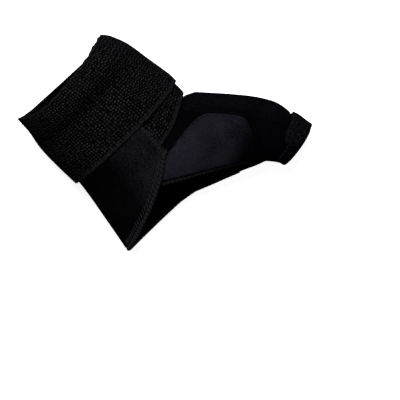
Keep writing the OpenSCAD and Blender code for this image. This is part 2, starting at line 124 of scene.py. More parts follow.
def seen_rays(tree):
    """One for what the camera sees, directly, mirrored or through glass, and zero for light on the cloth."""
    rays = tree.nodes.new("ShaderNodeLightPath").outputs
    beyond = calc(tree, "MAXIMUM", rays["Is Glossy Ray"], rays["Is Transmission Ray"])
    return calc(tree, "MAXIMUM", rays["Is Camera Ray"], beyond)


paper, shader = new_material("white_paper")
shader.inputs["Base Color"].default_value = (0.82, 0.82, 0.82, 1)
shader.inputs["Roughness"].default_value = 0.9
shader.inputs["Emission Color"].default_value = (1, 1, 1, 1)
glow = calc(paper.node_tree, "MULTIPLY", seen_rays(paper.node_tree), PAPER_GLOW)
paper.node_tree.links.new(glow, shader.inputs["Emission Strength"])
floor.data.materials.append(paper)
print("paper below the brace in mm:", DROP * 1000)

# %% Lamps and sky
SKY_LIGHT = 0.03
sky = bpy.data.worlds.new("studio")
sky.use_nodes = True
bpy.context.scene.world = sky
nodes, links = sky.node_tree.nodes, sky.node_tree.links
lit = nodes["Background"]
lit.inputs["Color"].default_value = (1, 1, 1, 1)
lit.inputs["Strength"].default_value = SKY_LIGHT
white = nodes.new("ShaderNodeBackground")
both = nodes.new("ShaderNodeMixShader")
links.new(seen_rays(sky.node_tree), both.inputs["Fac"])
links.new(lit.outputs[0], both.inputs[1])
links.new(white.outputs[0], both.inputs[2])
links.new(both.outputs[0], nodes["World Output"].inputs["Surface"])


def softbox(name, place, width, power):
    """A square lamp that faces the middle of the brace."""
    lamp = bpy.data.objects.new(name, bpy.data.lights.new(name, "AREA"))
    lamp.data.size = width
    lamp.data.energy = power
    lamp.location = place
    lamp.rotation_euler = (aim - Vector(place)).to_track_quat("-Z", "Y").to_euler()
    bpy.context.collection.objects.link(lamp)
    print(name, "power:", power)


softbox("key", (-0.5, 0.2, 1.0), 0.4, 17)
softbox("fill", (0.5, 0.3, 1.1), 0.8, 1.5)
bpy.context.scene.view_settings.view_transform = "Standard"

# %% [markdown]
# ## The two forms under the cloth
# Everything is sewn over two rounded forms: an oval tube for the wrist end, and a shell for the thumb
# sleeve that opens into a round mouth. Cloth could be shrink-wrapped over a modelled form, but a formula
# gives the same point for the same two numbers each time, so every ply finds its place at its own height
# above the form. Lengths here are in millimetres, as on a pattern sheet.

# %% Curves
WRIST_W, WRIST_T, FLARE, CREASE = 57.0, 39.0, 11.0, 53.0
WRAP_LEN, PALM_REACH, PALM_T = 96.0, 34.5, 37.0
THUMB_D, REACH, SPREAD, THUMB_TURN, HEM = 21.0, 118.5, 70.5, 12.0, 3.0
NEOPRENE, ELASTIC, POCKET, GAP, HOOK, STRAP = 2.5, 1.5, 1.2, 0.3, 0.9, 1.3
EDGE_D, EDGE_SLIT, ELASTIC_W, STRAP_W, SLEEVE_LEN = 2.6, 0.55, 46.0, 12.0, 75.0
OVER_PANEL = NEOPRENE + GAP
OVER_ELASTIC = OVER_PANEL + ELASTIC + GAP
OVER_FLAP = OVER_ELASTIC + NEOPRENE + GAP
OVER_HOOK = OVER_ELASTIC + HOOK + GAP


def paired(u, v):
    """Two numbers or arrays as float arrays of one shape."""
    return np.broadcast_arrays(np.asarray(u, float), np.asarray(v, float))


def through(x, stations):
    """A smooth curve through (place, value) stations; a value may be a number or a point."""
    at = np.array([s[0] for s in stations], float)
    value = np.array([s[1] for s in stations], float)
    x = np.asarray(x, float)
    count = np.arange(len(at))
    low, high = np.maximum(count - 1, 0), np.minimum(count + 1, len(at) - 1)
    flat = value.ndim == 1
    run = at[high] - at[low]
    rise = (value[high] - value[low]) / (run if flat else run[:, None])
    i = np.clip(np.searchsorted(at, x, side="right") - 1, 0, len(at) - 2)
    span = at[i + 1] - at[i]
    t = np.clip((x - at[i]) / span, 0, 1)
    if not flat:
        t, span = t[..., None], span[..., None]
    start, end = value[i], value[i + 1]
    return (start * (2 * t**3 - 3 * t**2 + 1) + rise[i] * span * (t**3 - 2 * t**2 + t)
            + end * (3 * t**2 - 2 * t**3) + rise[i + 1] * span * (t**3 - t**2))


def ease(a, b, x):
    """A smooth share that goes from 0 at a to 1 at b."""
    t = np.clip((np.asarray(x, float) - a) / (b - a), 0, 1)
    return t * t * (3 - 2 * t)


def mix(a, b, t):
    """The value that lies a share t of the way from a to b."""
    return a * (1 - t) + b * t


def bend(points, t):
    """A cubic curve from four points."""
    t = np.asarray(t, float)[..., None]
    p = np.array(points, float)
    return p[0] * (1 - t)**3 + 3 * p[1] * t * (1 - t)**2 + 3 * p[2] * t**2 * (1 - t) + p[3] * t**3


print("plies lie above the form in mm at:", OVER_PANEL, OVER_ELASTIC, OVER_FLAP, OVER_HOOK)


# %% Wrist form
HALF = WRIST_W / 2


def sleeve_side(x):
    """The side where the sleeve branches off; the slack of the elastic stands a little off the solids."""
    return HALF + through(x, [(0, -2.2), (0.11 * CREASE, 0.8), (0.2 * CREASE, 3.2), (0.27 * CREASE, 4.6),
                              (CREASE / 2, 7.1), (0.75 * CREASE, 9.9), (0.87 * CREASE, 10.7), (CREASE, FLARE),
                              (WRAP_LEN, FLARE)])


def plain_side(x):
    return -HALF + through(x, [(0, -0.4), (0.23 * CREASE, -0.5), (0.42 * CREASE, -1.8), (0.68 * CREASE, -1.6),
                               (CREASE, -1.0), (WRAP_LEN, HALF - PALM_REACH - 1)])


def oval(x):
    """The middle and the half width of the tube."""
    return (sleeve_side(x) + plain_side(x)) / 2, (sleeve_side(x) - plain_side(x)) / 2


def tube_t(x):
    return through(x, [(0, WRIST_T), (CREASE, WRIST_T), (WRAP_LEN, PALM_T)])


def wrist(x, a):
    """A point of the oval tube: x along it, a the angle in degrees along the winding."""
    x, a = paired(x, a)
    way = np.radians(360 - a)
    low = mix(OVER_PANEL + ELASTIC, NEOPRENE, ease(CREASE - 1, CREASE + 13, x))
    mid, half = oval(x)
    return np.stack([x, mid + half * np.cos(way), low + tube_t(x) / 2 * (1 + np.sin(way))], -1)


wrist.side = 1
print("middle and half width at the crease in mm:", [round(float(c), 1) for c in oval(CREASE)])

# %% Thumb form
OPEN_R = THUMB_D / 2
OPEN_Z = OPEN_R + OVER_PANEL + STRAP
RIDGE_OUT, RIDGE_IN, PULL = 43, 14, 25.0
FORK, SEAM, CREASE_Z = 0.85, 0.55, 21.5


def heading(angle):
    """A step of one in a direction seen from above."""
    return np.array([math.cos(math.radians(angle)), math.sin(math.radians(angle))])


open_way = heading(THUMB_TURN)
open_side = np.array([-open_way[1], open_way[0]])
open_c = np.array([REACH, SPREAD]) - HEM * open_way
ridge_0 = np.array([CREASE + 2.3, HALF + FLARE + 0.5])
ridge_1 = open_c + OPEN_R * open_side
inner_1 = open_c - OPEN_R * open_side
tongue = np.array([WRAP_LEN - 22, -7.0])
ridge = [ridge_0, ridge_0 + PULL * heading(RIDGE_OUT), ridge_1 - PULL * heading(RIDGE_IN), ridge_1]
inner = [tongue, tongue + [12.5, 20], inner_1 - [17.5, 10.5], inner_1]
fork = bend(inner, np.array(FORK))
palm_1 = ridge_0 + [15, -18]
palm_3 = np.array([WRAP_LEN + 2, 9.5])
palm_2 = mix(palm_1, palm_3, 0.55) + [-1, -2]


def palm_seam(u):
    """The seam line on the palm side, from the crease to the fork between wrap and sleeve."""
    near = through(u, [(0, ridge_0 + [6, -8]), (0.2, palm_1), (0.4, palm_2), (SEAM, palm_3)])
    middle = through(u, [(SEAM, palm_3), ((SEAM + FORK) / 2, mix(palm_3, fork, 0.42)), (FORK, fork)])
    u = np.asarray(u)[..., None]
    return np.where(u >= FORK, bend(inner, u[..., 0]), np.where(u >= SEAM, middle, near))


def back_max(u):
    """How far round the sleeve its back panel reaches, in degrees from the ridge."""
    reach = through(u, [(0, 114), (0.3, 113), (0.55, 124), (0.72, 154), (FORK, 180), (1.1, 180)])
    return np.minimum(180, reach)


def palm_max(u):
    """The same for the palm panel."""
    reach = through(u, [(0, 120), (0.1, 120), (0.22, 114), (0.38, 106), (SEAM, 101), (0.7, 132), (FORK, 180),
                        (1.1, 180)])
    return np.minimum(180, reach)


def ridge_z(u):
    return mix(CREASE_Z, OPEN_Z, ease(0.1, 1, u))


def shell(u, v, far, most, height):
    """A point between the ridge and the far edge, arched by height."""
    share = (1 - np.cos(np.radians(v))) / (1 - np.cos(np.radians(most)))
    flat = mix(bend(ridge, u), far, share[..., None])
    return np.concatenate([flat, (ridge_z(u) + height * np.sin(np.radians(v)))[..., None]], -1)


def thumb_back(u, v):
    """A point of the back shell: u along the ridge from crease to mouth, v degrees round from the ridge."""
    u, v = paired(u, v)
    return shell(u, v, bend(inner, u), back_max(u), mix(tube_t(CREASE) / 2, OPEN_R, ease(0, 0.95, u)))


def thumb_palm(u, v):
    """The same on the palm side, close above what the brace lies on."""
    u, v = paired(u, v)
    mouth_low = OPEN_Z - OPEN_R
    floor_z = through(u, [(0, NEOPRENE + 7), (0.12, NEOPRENE + 3.5), (0.26, NEOPRENE + 0.8),
                          (0.4, NEOPRENE + 0.1), (0.6, NEOPRENE + 0.1), (0.82, mouth_low), (1.1, mouth_low)])
    return shell(u, v, palm_seam(u), palm_max(u), floor_z - ridge_z(u))


def thumb(u, v):
    """All round the sleeve: v above 0 is the back, below 0 the palm side."""
    u, v = paired(u, v)
    return np.where((v < 0)[..., None], thumb_palm(u, -v), thumb_back(u, v))


thumb_back.side, thumb_palm.side, thumb.side = -1, 1, -1
print("ridge in mm from", ridge_0.round(1), "to", ridge_1.round(1))

# %% Heights above a form
HEM_SLIT, STEP_ALONG, STEP_ROUND = 0.15, 0.004, 0.5
hem_low, hem_high = (np.array(corner) * 1000 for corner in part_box("thumb_hem"))
hem_middle = np.append(open_c + (HEM + HEM_SLIT) / 2 * open_way, OPEN_Z)
shift = (hem_low + hem_high) / 2 - hem_middle
print("pattern to frame in mm:", shift.round(3))


def lifted(form, u, v, height):
    """Points a height above a form, still in pattern millimetres."""
    u, v = paired(u, v)
    step = STEP_ALONG * np.maximum(1, np.abs(u))
    along, round_it = form(u + step, v) - form(u - step, v), form(u, v + STEP_ROUND) - form(u, v - STEP_ROUND)
    normal = np.cross(along, round_it)
    normal /= np.linalg.norm(normal, axis=-1, keepdims=True)
    return form(u, v) + form.side * np.asarray(height, float)[..., None] * normal


def in_frame(points):
    """Pattern millimetres to the frame's metres."""
    return (np.asarray(points) + shift) / 1000

# %% [markdown]
# ## From a flat cut to a sewn ply
# Each ply starts as a flat grid, as cloth comes off a roll. The grid is extruded once, so it has an under
# side and a top, and then its points move onto a form at their two heights. Solidify would give one
# thickness everywhere, but a pocket over a stay needs its own height at each point. The cut edges are
# bevelled, because foam and webbing have no sharp rims. The flat size is kept as a UV map in millimetres
# for weaves and ribs.

# %% Ply helpers
FOAM_RIM, CLOTH_RIM, WEB_RIM, THIN_RIM, TAPE_RIM = 0.7, 0.45, 0.35, 0.3, 0.2
SHARP, MERGE = 0.9, 1e-6


def finish_mesh(bm, name, body, cloth, nodes=()):
    """Turn a bmesh into a piece with its finish, which rides a body and stands for the named solids."""
    made = bpy.data.objects.new(name, bpy.data.meshes.new(name))
    bm.to_mesh(made.data)
    bm.free()
    made.data.polygons.foreach_set("use_smooth", [True] * len(made.data.polygons))
    made.data.materials.append(cloth)
    bpy.context.collection.objects.link(made)
    if body:
        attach(made, body)
    if nodes:
        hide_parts(*nodes)
    print(name, "faces:", len(made.data.polygons))
    return made


def flat_grid(across, along):
    """A grid whose x and y run from 0 to 1."""
    bm = bmesh.new()
    bmesh.ops.create_grid(bm, x_segments=across, y_segments=along, size=0.5)
    bmesh.ops.translate(bm, vec=(0.5, 0.5, 0), verts=bm.verts)
    return bm


def spots(bm):
    """The places of all points as an array."""
    return np.array([v.co for v in bm.verts])


def move_to(bm, points):
    """Set the places of all points; the table presses flat what would sink below it."""
    for v, p in zip(bm.verts, points):
        v.co = (p[0], p[1], max(p[2], 0))


def keep_cut(bm, cut):
    """Write the flat place of each point to a UV map, in millimetres."""
    layer = bm.loops.layers.uv.new("cut")
    for face in bm.faces:
        for loop in face.loops:
            loop[layer].uv = (loop.vert.co.x * cut[0], loop.vert.co.y * cut[1])


def round_rim(bm, size):
    """Bevel the cut edges of a ply."""
    bmesh.ops.recalc_face_normals(bm, faces=bm.faces)
    rim = [e for e in bm.edges if len(e.link_faces) == 2 and e.calc_face_angle() > SHARP]
    bmesh.ops.bevel(bm, geom=rim, offset=size / 1000, offset_type="OFFSET", segments=3, profile=0.5,
                    affect="EDGES", clamp_overlap=True, material=-1)


def solid_cloth(grid, cut, points, rim):
    """A closed ply: points gives the places for spots of the cut on its under side (0) and top (1)."""
    bm = flat_grid(*grid)
    made = bmesh.ops.extrude_face_region(bm, geom=bm.faces[:])
    top = [g for g in made["geom"] if isinstance(g, bmesh.types.BMVert)]
    bmesh.ops.translate(bm, vec=(0, 0, 1), verts=top)
    keep_cut(bm, cut)
    move_to(bm, in_frame(points(*spots(bm).T)))
    round_rim(bm, rim)
    return bm


def ply(form, grid, cut, place, low, high, rim):
    """A ply over a form: place gives its two numbers for a spot of the cut, low and high the heights."""
    def points(s, t, level):
        u, v = place(s, t)
        return lifted(form, u, v, mix(low(u, v), high(u, v), level))
    return solid_cloth(grid, cut, points, rim)


def at(height):
    """The same height all over a form."""
    return lambda u, v: np.full(np.shape(u), float(height))


def relief(a, b, size):
    """Soft hollows and swells of about one, the way limp cloth lies; a, b and size in millimetres."""
    a, b = np.asarray(a) / size, np.asarray(b) / size
    long_swells = np.sin(1.7 * a + 0.6 * b + 0.4) + np.sin(2.3 * b - 0.9 * a + 1.9)
    short_swells = np.sin(1.1 * a + 3.1 * b + 4.2) + 0.6 * np.sin(3.7 * a - 2.9 * b + 2.6)
    return (long_swells + short_swells) / 3


# %% [markdown]
# ## Threads and rolled edges
# A rolled or overlocked edge is a round tube along a line, and a sewing thread is a thin one. A curve with
# a bevel would do, but a tube of mesh can be merged, measured and given a UV map like the plies. A grid is
# rolled up round the line, its long seam is merged and both ends are closed.

# %% Tube and stitch helpers
POINTS_PER_TURN, STITCH_REACH, STITCH_FLAT = 14, 0.56, 1.2


def unit(rows):
    return rows / np.linalg.norm(rows, axis=1, keepdims=True)


def square_to(points, ups):
    """At each point of a line, the up and side directions that stand square to its way."""
    way = unit(np.gradient(points, axis=0))
    side = unit(np.cross(ups, way))
    return np.cross(way, side), side


def length_along(points):
    return np.append(0, np.cumsum(np.linalg.norm(np.diff(points, axis=0), axis=1)))


def tube(points, ups, radius, sides):
    """A round tube along points, in pattern millimetres; ups keep it from twisting."""
    points = np.asarray(points, float)
    ups, side = square_to(points, ups)
    bm = flat_grid(len(points) - 1, sides)
    keep_cut(bm, (length_along(points)[-1], 2 * math.pi * np.max(radius)))
    s, t, _ = spots(bm).T
    i = np.rint(s * (len(points) - 1)).astype(int)
    turn = 2 * math.pi * t
    r = np.broadcast_to(radius, len(points))[i][:, None]
    ring = np.cos(turn)[:, None] * ups[i] + np.sin(turn)[:, None] * side[i]
    move_to(bm, in_frame(points[i] + r * ring))
    bmesh.ops.remove_doubles(bm, verts=bm.verts, dist=MERGE)
    bmesh.ops.holes_fill(bm, edges=[e for e in bm.edges if e.is_boundary], sides=0)
    bmesh.ops.recalc_face_normals(bm, faces=bm.faces)
    return bm


def even(points, ups, step):
    """Resample a line and its up directions at an even step."""
    points, ups = np.asarray(points, float), np.asarray(ups, float)
    length = length_along(points)
    new = np.linspace(0, length[-1], max(2, int(length[-1] / step) + 1))
    picked = (np.stack([np.interp(new, length, rows[:, k]) for k in range(3)], 1) for rows in (points, ups))
    return *picked, new


def wound(points, ups, radius, pitch, start=0.0):
    """The line of a thread wound round another line."""
    points, ups, length = even(points, ups, pitch / POINTS_PER_TURN)
    ups, side = square_to(points, ups)
    turn = (2 * math.pi * length / pitch + start)[:, None]
    out = np.cos(turn) * ups + np.sin(turn) * side
    return points + radius * out, out


def join_into(bm, other):
    """Copy one bmesh into another."""
    carrier = bpy.data.meshes.new("carrier")
    other.to_mesh(carrier)
    other.free()
    bm.from_mesh(carrier)
    bpy.data.meshes.remove(carrier)


def station(form, u, v, height):
    """Points above a form with their outward directions."""
    points = lifted(form, u, v, height)
    return points, lifted(form, u, v, np.asarray(height) + 1.0) - points


def stitches(form, pairs, height, width):
    """Short round stitches, each from one spot of a form to another, half sunk into the cloth."""
    bm = bmesh.new()
    for (u0, v0), (u1, v1) in pairs:
        u, v = np.array([u0, u1]), np.array([v0, v1])
        ends, ups = station(form, u, v, height(u, v))
        way = Vector((ends[1] - ends[0]) / 1000)
        out = Vector(ups.mean(0)).normalized()
        side = out.cross(way).normalized()
        half, thick = width / 2000, way.cross(side).normalized()
        axes = Matrix((way * STITCH_REACH, side * half, thick * (half / STITCH_FLAT))).transposed().to_4x4()
        axes.translation = Vector(in_frame(ends.mean(0)))
        bmesh.ops.create_uvsphere(bm, u_segments=8, v_segments=5, radius=1, matrix=axes)
    bmesh.ops.recalc_face_normals(bm, faces=bm.faces)
    return bm

# %% [markdown]
# ## Cloth faces as node groups
# Three faces cover the brace: the brushed jersey that is glued to neoprene, the ribbed knit of the elastic,
# and twisted thread. Photographs of cloth could be laid on, but noise and waves have no seams and stay
# sharp close up. Each face is a group that gives a tone to multiply into a colour and a height to bump
# with, so several materials share one recipe with their own scale.

# %% Group helpers
def cloth_face(name, **inputs):
    """A node group that takes a vector and named values and gives a tone and a height."""
    tree = bpy.data.node_groups.new(name, "ShaderNodeTree")
    tree.interface.new_socket("Vector", in_out="INPUT", socket_type="NodeSocketVector")
    for label, value in inputs.items():
        tree.interface.new_socket(label, in_out="INPUT", socket_type="NodeSocketFloat").default_value = value
    for label in ("Tone", "Height"):
        tree.interface.new_socket(label, in_out="OUTPUT", socket_type="NodeSocketFloat")
    return tree, tree.nodes.new("NodeGroupInput").outputs, tree.nodes.new("NodeGroupOutput")


def texture(tree, kind, vector, scale, **settings):
    """A texture node on a vector, with its plain settings by socket name."""
    node = tree.nodes.new(kind)
    tree.links.new(vector, node.inputs["Vector"])
    if isinstance(scale, (int, float)):
        node.inputs["Scale"].default_value = scale
    else:
        tree.links.new(scale, node.inputs["Scale"])
    for label, value in settings.items():
        node.inputs[label.replace("_", " ")].default_value = value
    return node


def noise(tree, vector, scale, **settings):
    return texture(tree, "ShaderNodeTexNoise", vector, scale, **settings).outputs["Fac"]


def humps(tree, value, pitch=1.0):
    """Round humps along a value, one for each pitch."""
    return calc(tree, "ABSOLUTE", calc(tree, "SINE", calc(tree, "MULTIPLY", value, math.pi / pitch)))


def flat_spot(tree, vector):
    """The x and y of a place on the flat cut."""
    part = tree.nodes.new("ShaderNodeSeparateXYZ")
    tree.links.new(vector, part.inputs[0])
    return part.outputs["X"], part.outputs["Y"]


def put_out(tree, result, tone, height):
    """Close a cloth face: tie its tone and height to the group's outputs."""
    tree.links.new(tone, result.inputs["Tone"])
    tree.links.new(height, result.inputs["Height"])
    print("group:", tree.name, "nodes:", len(tree.nodes))


# %% Brushed jersey
jersey, given, result = cloth_face("brushed_jersey", Loops=1500.0, Grain=2.2)
loops = texture(jersey, "ShaderNodeTexVoronoi", given["Vector"], given["Loops"]).outputs["Distance"]
nap = noise(jersey, given["Vector"], 1300.0, Detail=2.0, Roughness=0.6)
cloud = noise(jersey, given["Vector"], 55.0, Detail=2.0)
speckle = calc(jersey, "MULTIPLY", calc(jersey, "SUBTRACT", nap, 0.5), given["Grain"])
tone = calc(jersey, "MULTIPLY_ADD", loops, 0.3, calc(jersey, "ADD", speckle, cloud))
put_out(jersey, result, calc(jersey, "SUBTRACT", tone, 0.1), calc(jersey, "ADD", loops, nap))

# %% Ribbed knit
# Across the strip x runs from selvedge to selvedge, y along the winding, both in millimetres.
RIB, SELVEDGE_LINE = 1.12, 0.75
ribbed, given, result = cloth_face("ribbed_knit", Width=ELASTIC_W, Margin=2.6, Rib=RIB, Wale=1.72)
x, y = flat_spot(ribbed, given["Vector"])
sway = noise(ribbed, given["Vector"], 0.3, Detail=2.0)
rib = calc(ribbed, "DIVIDE", calc(ribbed, "MULTIPLY_ADD", sway, 1.1, y), given["Rib"])
brick = calc(ribbed, "MULTIPLY", calc(ribbed, "MODULO", calc(ribbed, "FLOOR", rib), 2.0), 0.25)
wale = calc(ribbed, "ADD", calc(ribbed, "DIVIDE", x, given["Wale"]), brick)
rib_hump = humps(ribbed, rib)
dots = calc(ribbed, "POWER", calc(ribbed, "MULTIPLY", rib_hump, humps(ribbed, wale)), 1.7)

# %% Selvedges of the knit
near = calc(ribbed, "MINIMUM", calc(ribbed, "MULTIPLY", x, 2.0), calc(ribbed, "SUBTRACT", given["Width"], x))
edge = calc(ribbed, "MAXIMUM", calc(ribbed, "SUBTRACT", given["Margin"], near), 0.0)
edge = calc(ribbed, "MINIMUM", edge, 1.0)
body = calc(ribbed, "SUBTRACT", 1.0, edge)
lines = humps(ribbed, x, SELVEDGE_LINE)
flat = calc(ribbed, "MULTIPLY_ADD", lines, 0.35, calc(ribbed, "MULTIPLY", rib_hump, 0.25))
height = calc(ribbed, "MULTIPLY_ADD", dots, body, calc(ribbed, "MULTIPLY", flat, edge))

# %% Glints of the knit
speck = calc(ribbed, "SUBTRACT", noise(ribbed, given["Vector"], 0.8, Detail=1.0), 0.32)
glint = calc(ribbed, "MAXIMUM", calc(ribbed, "MULTIPLY", speck, 3.4), 0.1)
faded = calc(ribbed, "MULTIPLY_ADD", noise(ribbed, given["Vector"], 0.09, Detail=2.0), 0.9, 0.5)
shown = calc(ribbed, "MULTIPLY", calc(ribbed, "MULTIPLY", dots, glint), faded)
plain = calc(ribbed, "MULTIPLY_ADD", flat, 0.8, 0.1)
selvedge = calc(ribbed, "MULTIPLY", plain, calc(ribbed, "MULTIPLY_ADD", glint, 0.6, 0.3))
tone = calc(ribbed, "MULTIPLY_ADD", shown, body, calc(ribbed, "MULTIPLY", selvedge, edge))
put_out(ribbed, result, tone, height)

# %% Twisted thread
twisted, given, result = cloth_face("twisted_thread", Twist=900.0)
strand = noise(twisted, given["Vector"], given["Twist"], Detail=2.0, Distortion=1.5)
hair = noise(twisted, given["Vector"], 3500.0, Detail=1.0)
tone = calc(twisted, "MULTIPLY_ADD", strand, 1.3, calc(twisted, "MULTIPLY", hair, 0.5))
put_out(twisted, result, tone, strand)

# %% [markdown]
# A finish joins one group to the Principled shader. Black cloth is hard to show: most of what the eye gets
# is the soft shine of the nap, so the base colours are very dark, the gloss is turned down and a little
# sheen is set on the shader itself.

# %% Finish helper
SMOOTHER = 0.12


def finish(name, face, source, dark, pale, bump, depth, settings, **values):
    """A material: a face's tone runs from a dark to a pale, smoother colour; its height makes the bump."""
    made, shader = new_material(name)
    nodes, links = made.node_tree.nodes, made.node_tree.links
    coords = nodes.new("ShaderNodeTexCoord")
    placed = nodes.new("ShaderNodeGroup")
    placed.node_tree = face
    links.new(coords.outputs[source], placed.inputs["Vector"])
    for label, value in values.items():
        placed.inputs[label].default_value = value
    tint = nodes.new("ShaderNodeMix")
    tint.data_type = "RGBA"
    tint.inputs["A"].default_value = (*dark, 1)
    tint.inputs["B"].default_value = (*pale, 1)
    links.new(placed.outputs["Tone"], tint.inputs["Factor"])
    links.new(tint.outputs["Result"], shader.inputs["Base Color"])
    raised = nodes.new("ShaderNodeBump")
    raised.inputs["Strength"].default_value = bump
    raised.inputs["Distance"].default_value = depth / 1000
    links.new(placed.outputs["Height"], raised.inputs["Height"])
    links.new(raised.outputs["Normal"], shader.inputs["Normal"])
    for label, value in settings.items():
        shader.inputs[label].default_value = value
    roughest = settings["Roughness"] + SMOOTHER / 2
    rough = calc(made.node_tree, "MULTIPLY_ADD", placed.outputs["Tone"], -SMOOTHER, roughest)
    links.new(rough, shader.inputs["Roughness"])
    print("finish:", name)
    return made


# %% Finishes of the brace
MATT = {"Roughness": 0.9, "Specular IOR Level": 0.0, "Sheen Weight": 0.0006, "Sheen Roughness": 0.5}


def matt(roughness):
    return {**MATT, "Roughness": roughness}


neoprene = finish("neoprene_jersey", jersey, "Object",
                  (0.0001, 0.0001, 0.0001), (0.0098, 0.0096, 0.0121), 0.5, 0.25, MATT)
# A darker copy of the neoprene jersey for the sleeve panels and hem: painted shade, where the sleeve turns
# away from the light.
shaded_jersey = finish("sleeve_jersey_shaded", jersey, "Object",
                   (0.0001, 0.0001, 0.0002), (0.0018, 0.0018, 0.0028), 0.5, 0.25, MATT)
plush = finish("brushed_plush", jersey, "Object",
               (0.0001, 0.0001, 0.0001), (0.0034, 0.0033, 0.0048), 0.8, 0.5, matt(0.92), Loops=900.0)
suede = finish("patch_suede", jersey, "Object",
               (0.0003, 0.0003, 0.0005), (0.0148, 0.0136, 0.0195), 0.35, 0.2, matt(0.75),
               Loops=1900.0, Grain=1.3)
rib_elastic = finish("ribbed_elastic", ribbed, "UV",
                     (0.0001, 0.0001, 0.0002), (0.025, 0.0245, 0.027), 0.9, 0.5,
                     {**matt(0.62), "Sheen Weight": 0.0})
stretch = finish("stretch_gusset", jersey, "Object",
                 (0.0001, 0.0001, 0.0001), (0.0022, 0.0022, 0.003), 0.6, 0.3, MATT, Loops=1100.0)
edging = finish("overlock_edging", twisted, "Object",
                (0.0004, 0.0004, 0.0005), (0.0055, 0.0055, 0.0065), 0.6, 0.3, matt(0.75))
thread = finish("sewing_thread", twisted, "Object",
                (0.002, 0.002, 0.0024), (0.022, 0.022, 0.025), 0.5, 0.12, matt(0.6), Twist=1800.0)
dark_thread = finish("dark_thread", twisted, "Object",
                     (0.0003, 0.0003, 0.0004), (0.0034, 0.0034, 0.0042), 0.5, 0.12, matt(0.7), Twist=1800.0)
webbing = finish("woven_webbing", ribbed, "UV",
                 (0.0004, 0.0004, 0.0006), (0.019, 0.019, 0.021), 0.7, 0.3, matt(0.7),
                 Width=STRAP_W, Margin=1.0, Rib=0.9, Wale=0.62)

# %% [markdown]
# Some shade is painted into the tone of the cloth. The patch is darkened towards its far end, where the
# sleeve turns from the light, the wrap is darkened everywhere but near the flap's end, which faces the light,
# and the elastic is darkened along its fold, where shade falls. These could be painted into an image, but
# each is a simple share along the flat cut, so it is worked out from the UV map and multiplied into the tone.

# %% Painted shade
FOLD_X = 15.5


def ramp(tree, value, zero, one, least=0.0):
    """A share that goes from least at zero to 1 at one, and stays level beyond."""
    slope = 1 / (one - zero)
    share = calc(tree, "MULTIPLY_ADD", value, slope, -zero * slope)
    return calc(tree, "MINIMUM", calc(tree, "MAXIMUM", share, least), 1.0)


def paint_shade(made, share):
    """Multiply a share of the place on the cut, in millimetres, into the tone of a finish, as painted shade.
    """
    tree = made.node_tree
    x, y = flat_spot(tree, tree.nodes["Texture Coordinate"].outputs["UV"])
    tone = calc(tree, "MULTIPLY", tree.nodes["Group"].outputs["Tone"], share(tree, x, y))
    tree.links.new(tone, tree.nodes["Mix"].inputs["Factor"])
    print("painted_shade:", made.name)


# Painted shade along the fold of the elastic, where the cloth dips: the tone falls to half on the fold line.
def fold_shade(tree, x, y):
    across = ramp(tree, calc(tree, "ABSOLUTE", calc(tree, "SUBTRACT", x, FOLD_X)), 5.5, 1.5)
    along = calc(tree, "MULTIPLY", ramp(tree, y, 112, 124), ramp(tree, y, 180, 166))
    return calc(tree, "MULTIPLY_ADD", calc(tree, "MULTIPLY", across, along), -0.5, 1.0)


# Painted shade on the patch: its tone falls to a tenth towards its far end, where the sleeve turns away from
# the light.
paint_shade(suede, lambda tree, x, y: ramp(tree, y, 37, 25, 0.1))
# Painted shade on the wrap: its tone falls to about a fifth everywhere but near the flap's end, which faces
# the light.
paint_shade(neoprene, lambda tree, x, y: ramp(tree, y, 151, 162, 0.22))
paint_shade(rib_elastic, fold_shade)

# %% [markdown]
# ## Neoprene wrap and flap
# One cut of neoprene starts on the back under the elastic, runs under the palm side, comes round the plain
# side and ends as the flap on the back. It could be drawn as an extruded band, but its front edge follows
# the sleeve's seam on one side and a long slant on the other, so the two edges are curves over the winding
# angle.

# %% Wrap outline
WRAP_A, SEAM_A, FLAP_RISE, FLAP_UP, FLAP_END = 268.0, 448.0, 545.0, 606.0, 640.0
GUSSET_BACK, GUSSET_PALM = 2.8, 4.3
GUSSET_WAY = np.array([-0.56, -0.83])
PALM_X, MM_PER_DEGREE = CREASE + 17, 0.44
crease_k = (tongue[0] - ridge_0[0]) / (ridge_0[1] - tongue[1])
seam_spots = [palm_seam(np.array(u)) + GUSSET_PALM * GUSSET_WAY for u in (SEAM, 0.4, 0.2, 0.0)]
seam_line = [(p[1], p[0]) for p in seam_spots] + [(ridge_0[1] + 1, ridge_0[0] - GUSSET_BACK)]
snips = ((WRAP_A, 360, 13), (367, SEAM_A, 16), (SEAM_A + 6, FLAP_RISE, 13), (FLAP_RISE + 6, FLAP_END, 21))
wrap_angles = np.concatenate([np.linspace(*snip) for snip in snips])


def crease_at(y):
    return ridge_0[0] + (ridge_0[1] - y) * crease_k


def wrap_x1_at(a):
    """The front edge: along the crease, then the palm seam, then the slant of the flap."""
    by_thumb = crease_at(wrist(CREASE + 8, a)[..., 1]) - GUSSET_BACK * 1.1
    by_palm = np.minimum(WRAP_LEN, through(wrist(PALM_X, a)[..., 1], seam_line))
    by_flap = WRAP_LEN + through(a, [(SEAM_A, 0), (500, -0.5), (540, -2), (570, -4.8), (600, -11.9),
                                     (620, -19.3), (FLAP_END - 10, -24.2), (FLAP_END, -29.8)])
    return np.where(a <= 360, by_thumb, np.where(a < SEAM_A, by_palm, by_flap))


wrap_edge = wrap_x1_at(wrap_angles)


def wrap_x1(a):
    """The same edge, as cut in straight snips."""
    return np.interp(a, wrap_angles, wrap_edge)


def wrap_x0(a):
    return through(a, [(WRAP_A, 6), (540, 6), (560, 18), (FLAP_END, 18)])


def wrap_low(x, a):
    up = mix(OVER_ELASTIC, OVER_PANEL + POCKET + 1.5, ease(CREASE + 10, CREASE + 20, x))
    return ease(FLAP_RISE, FLAP_UP, a) * up


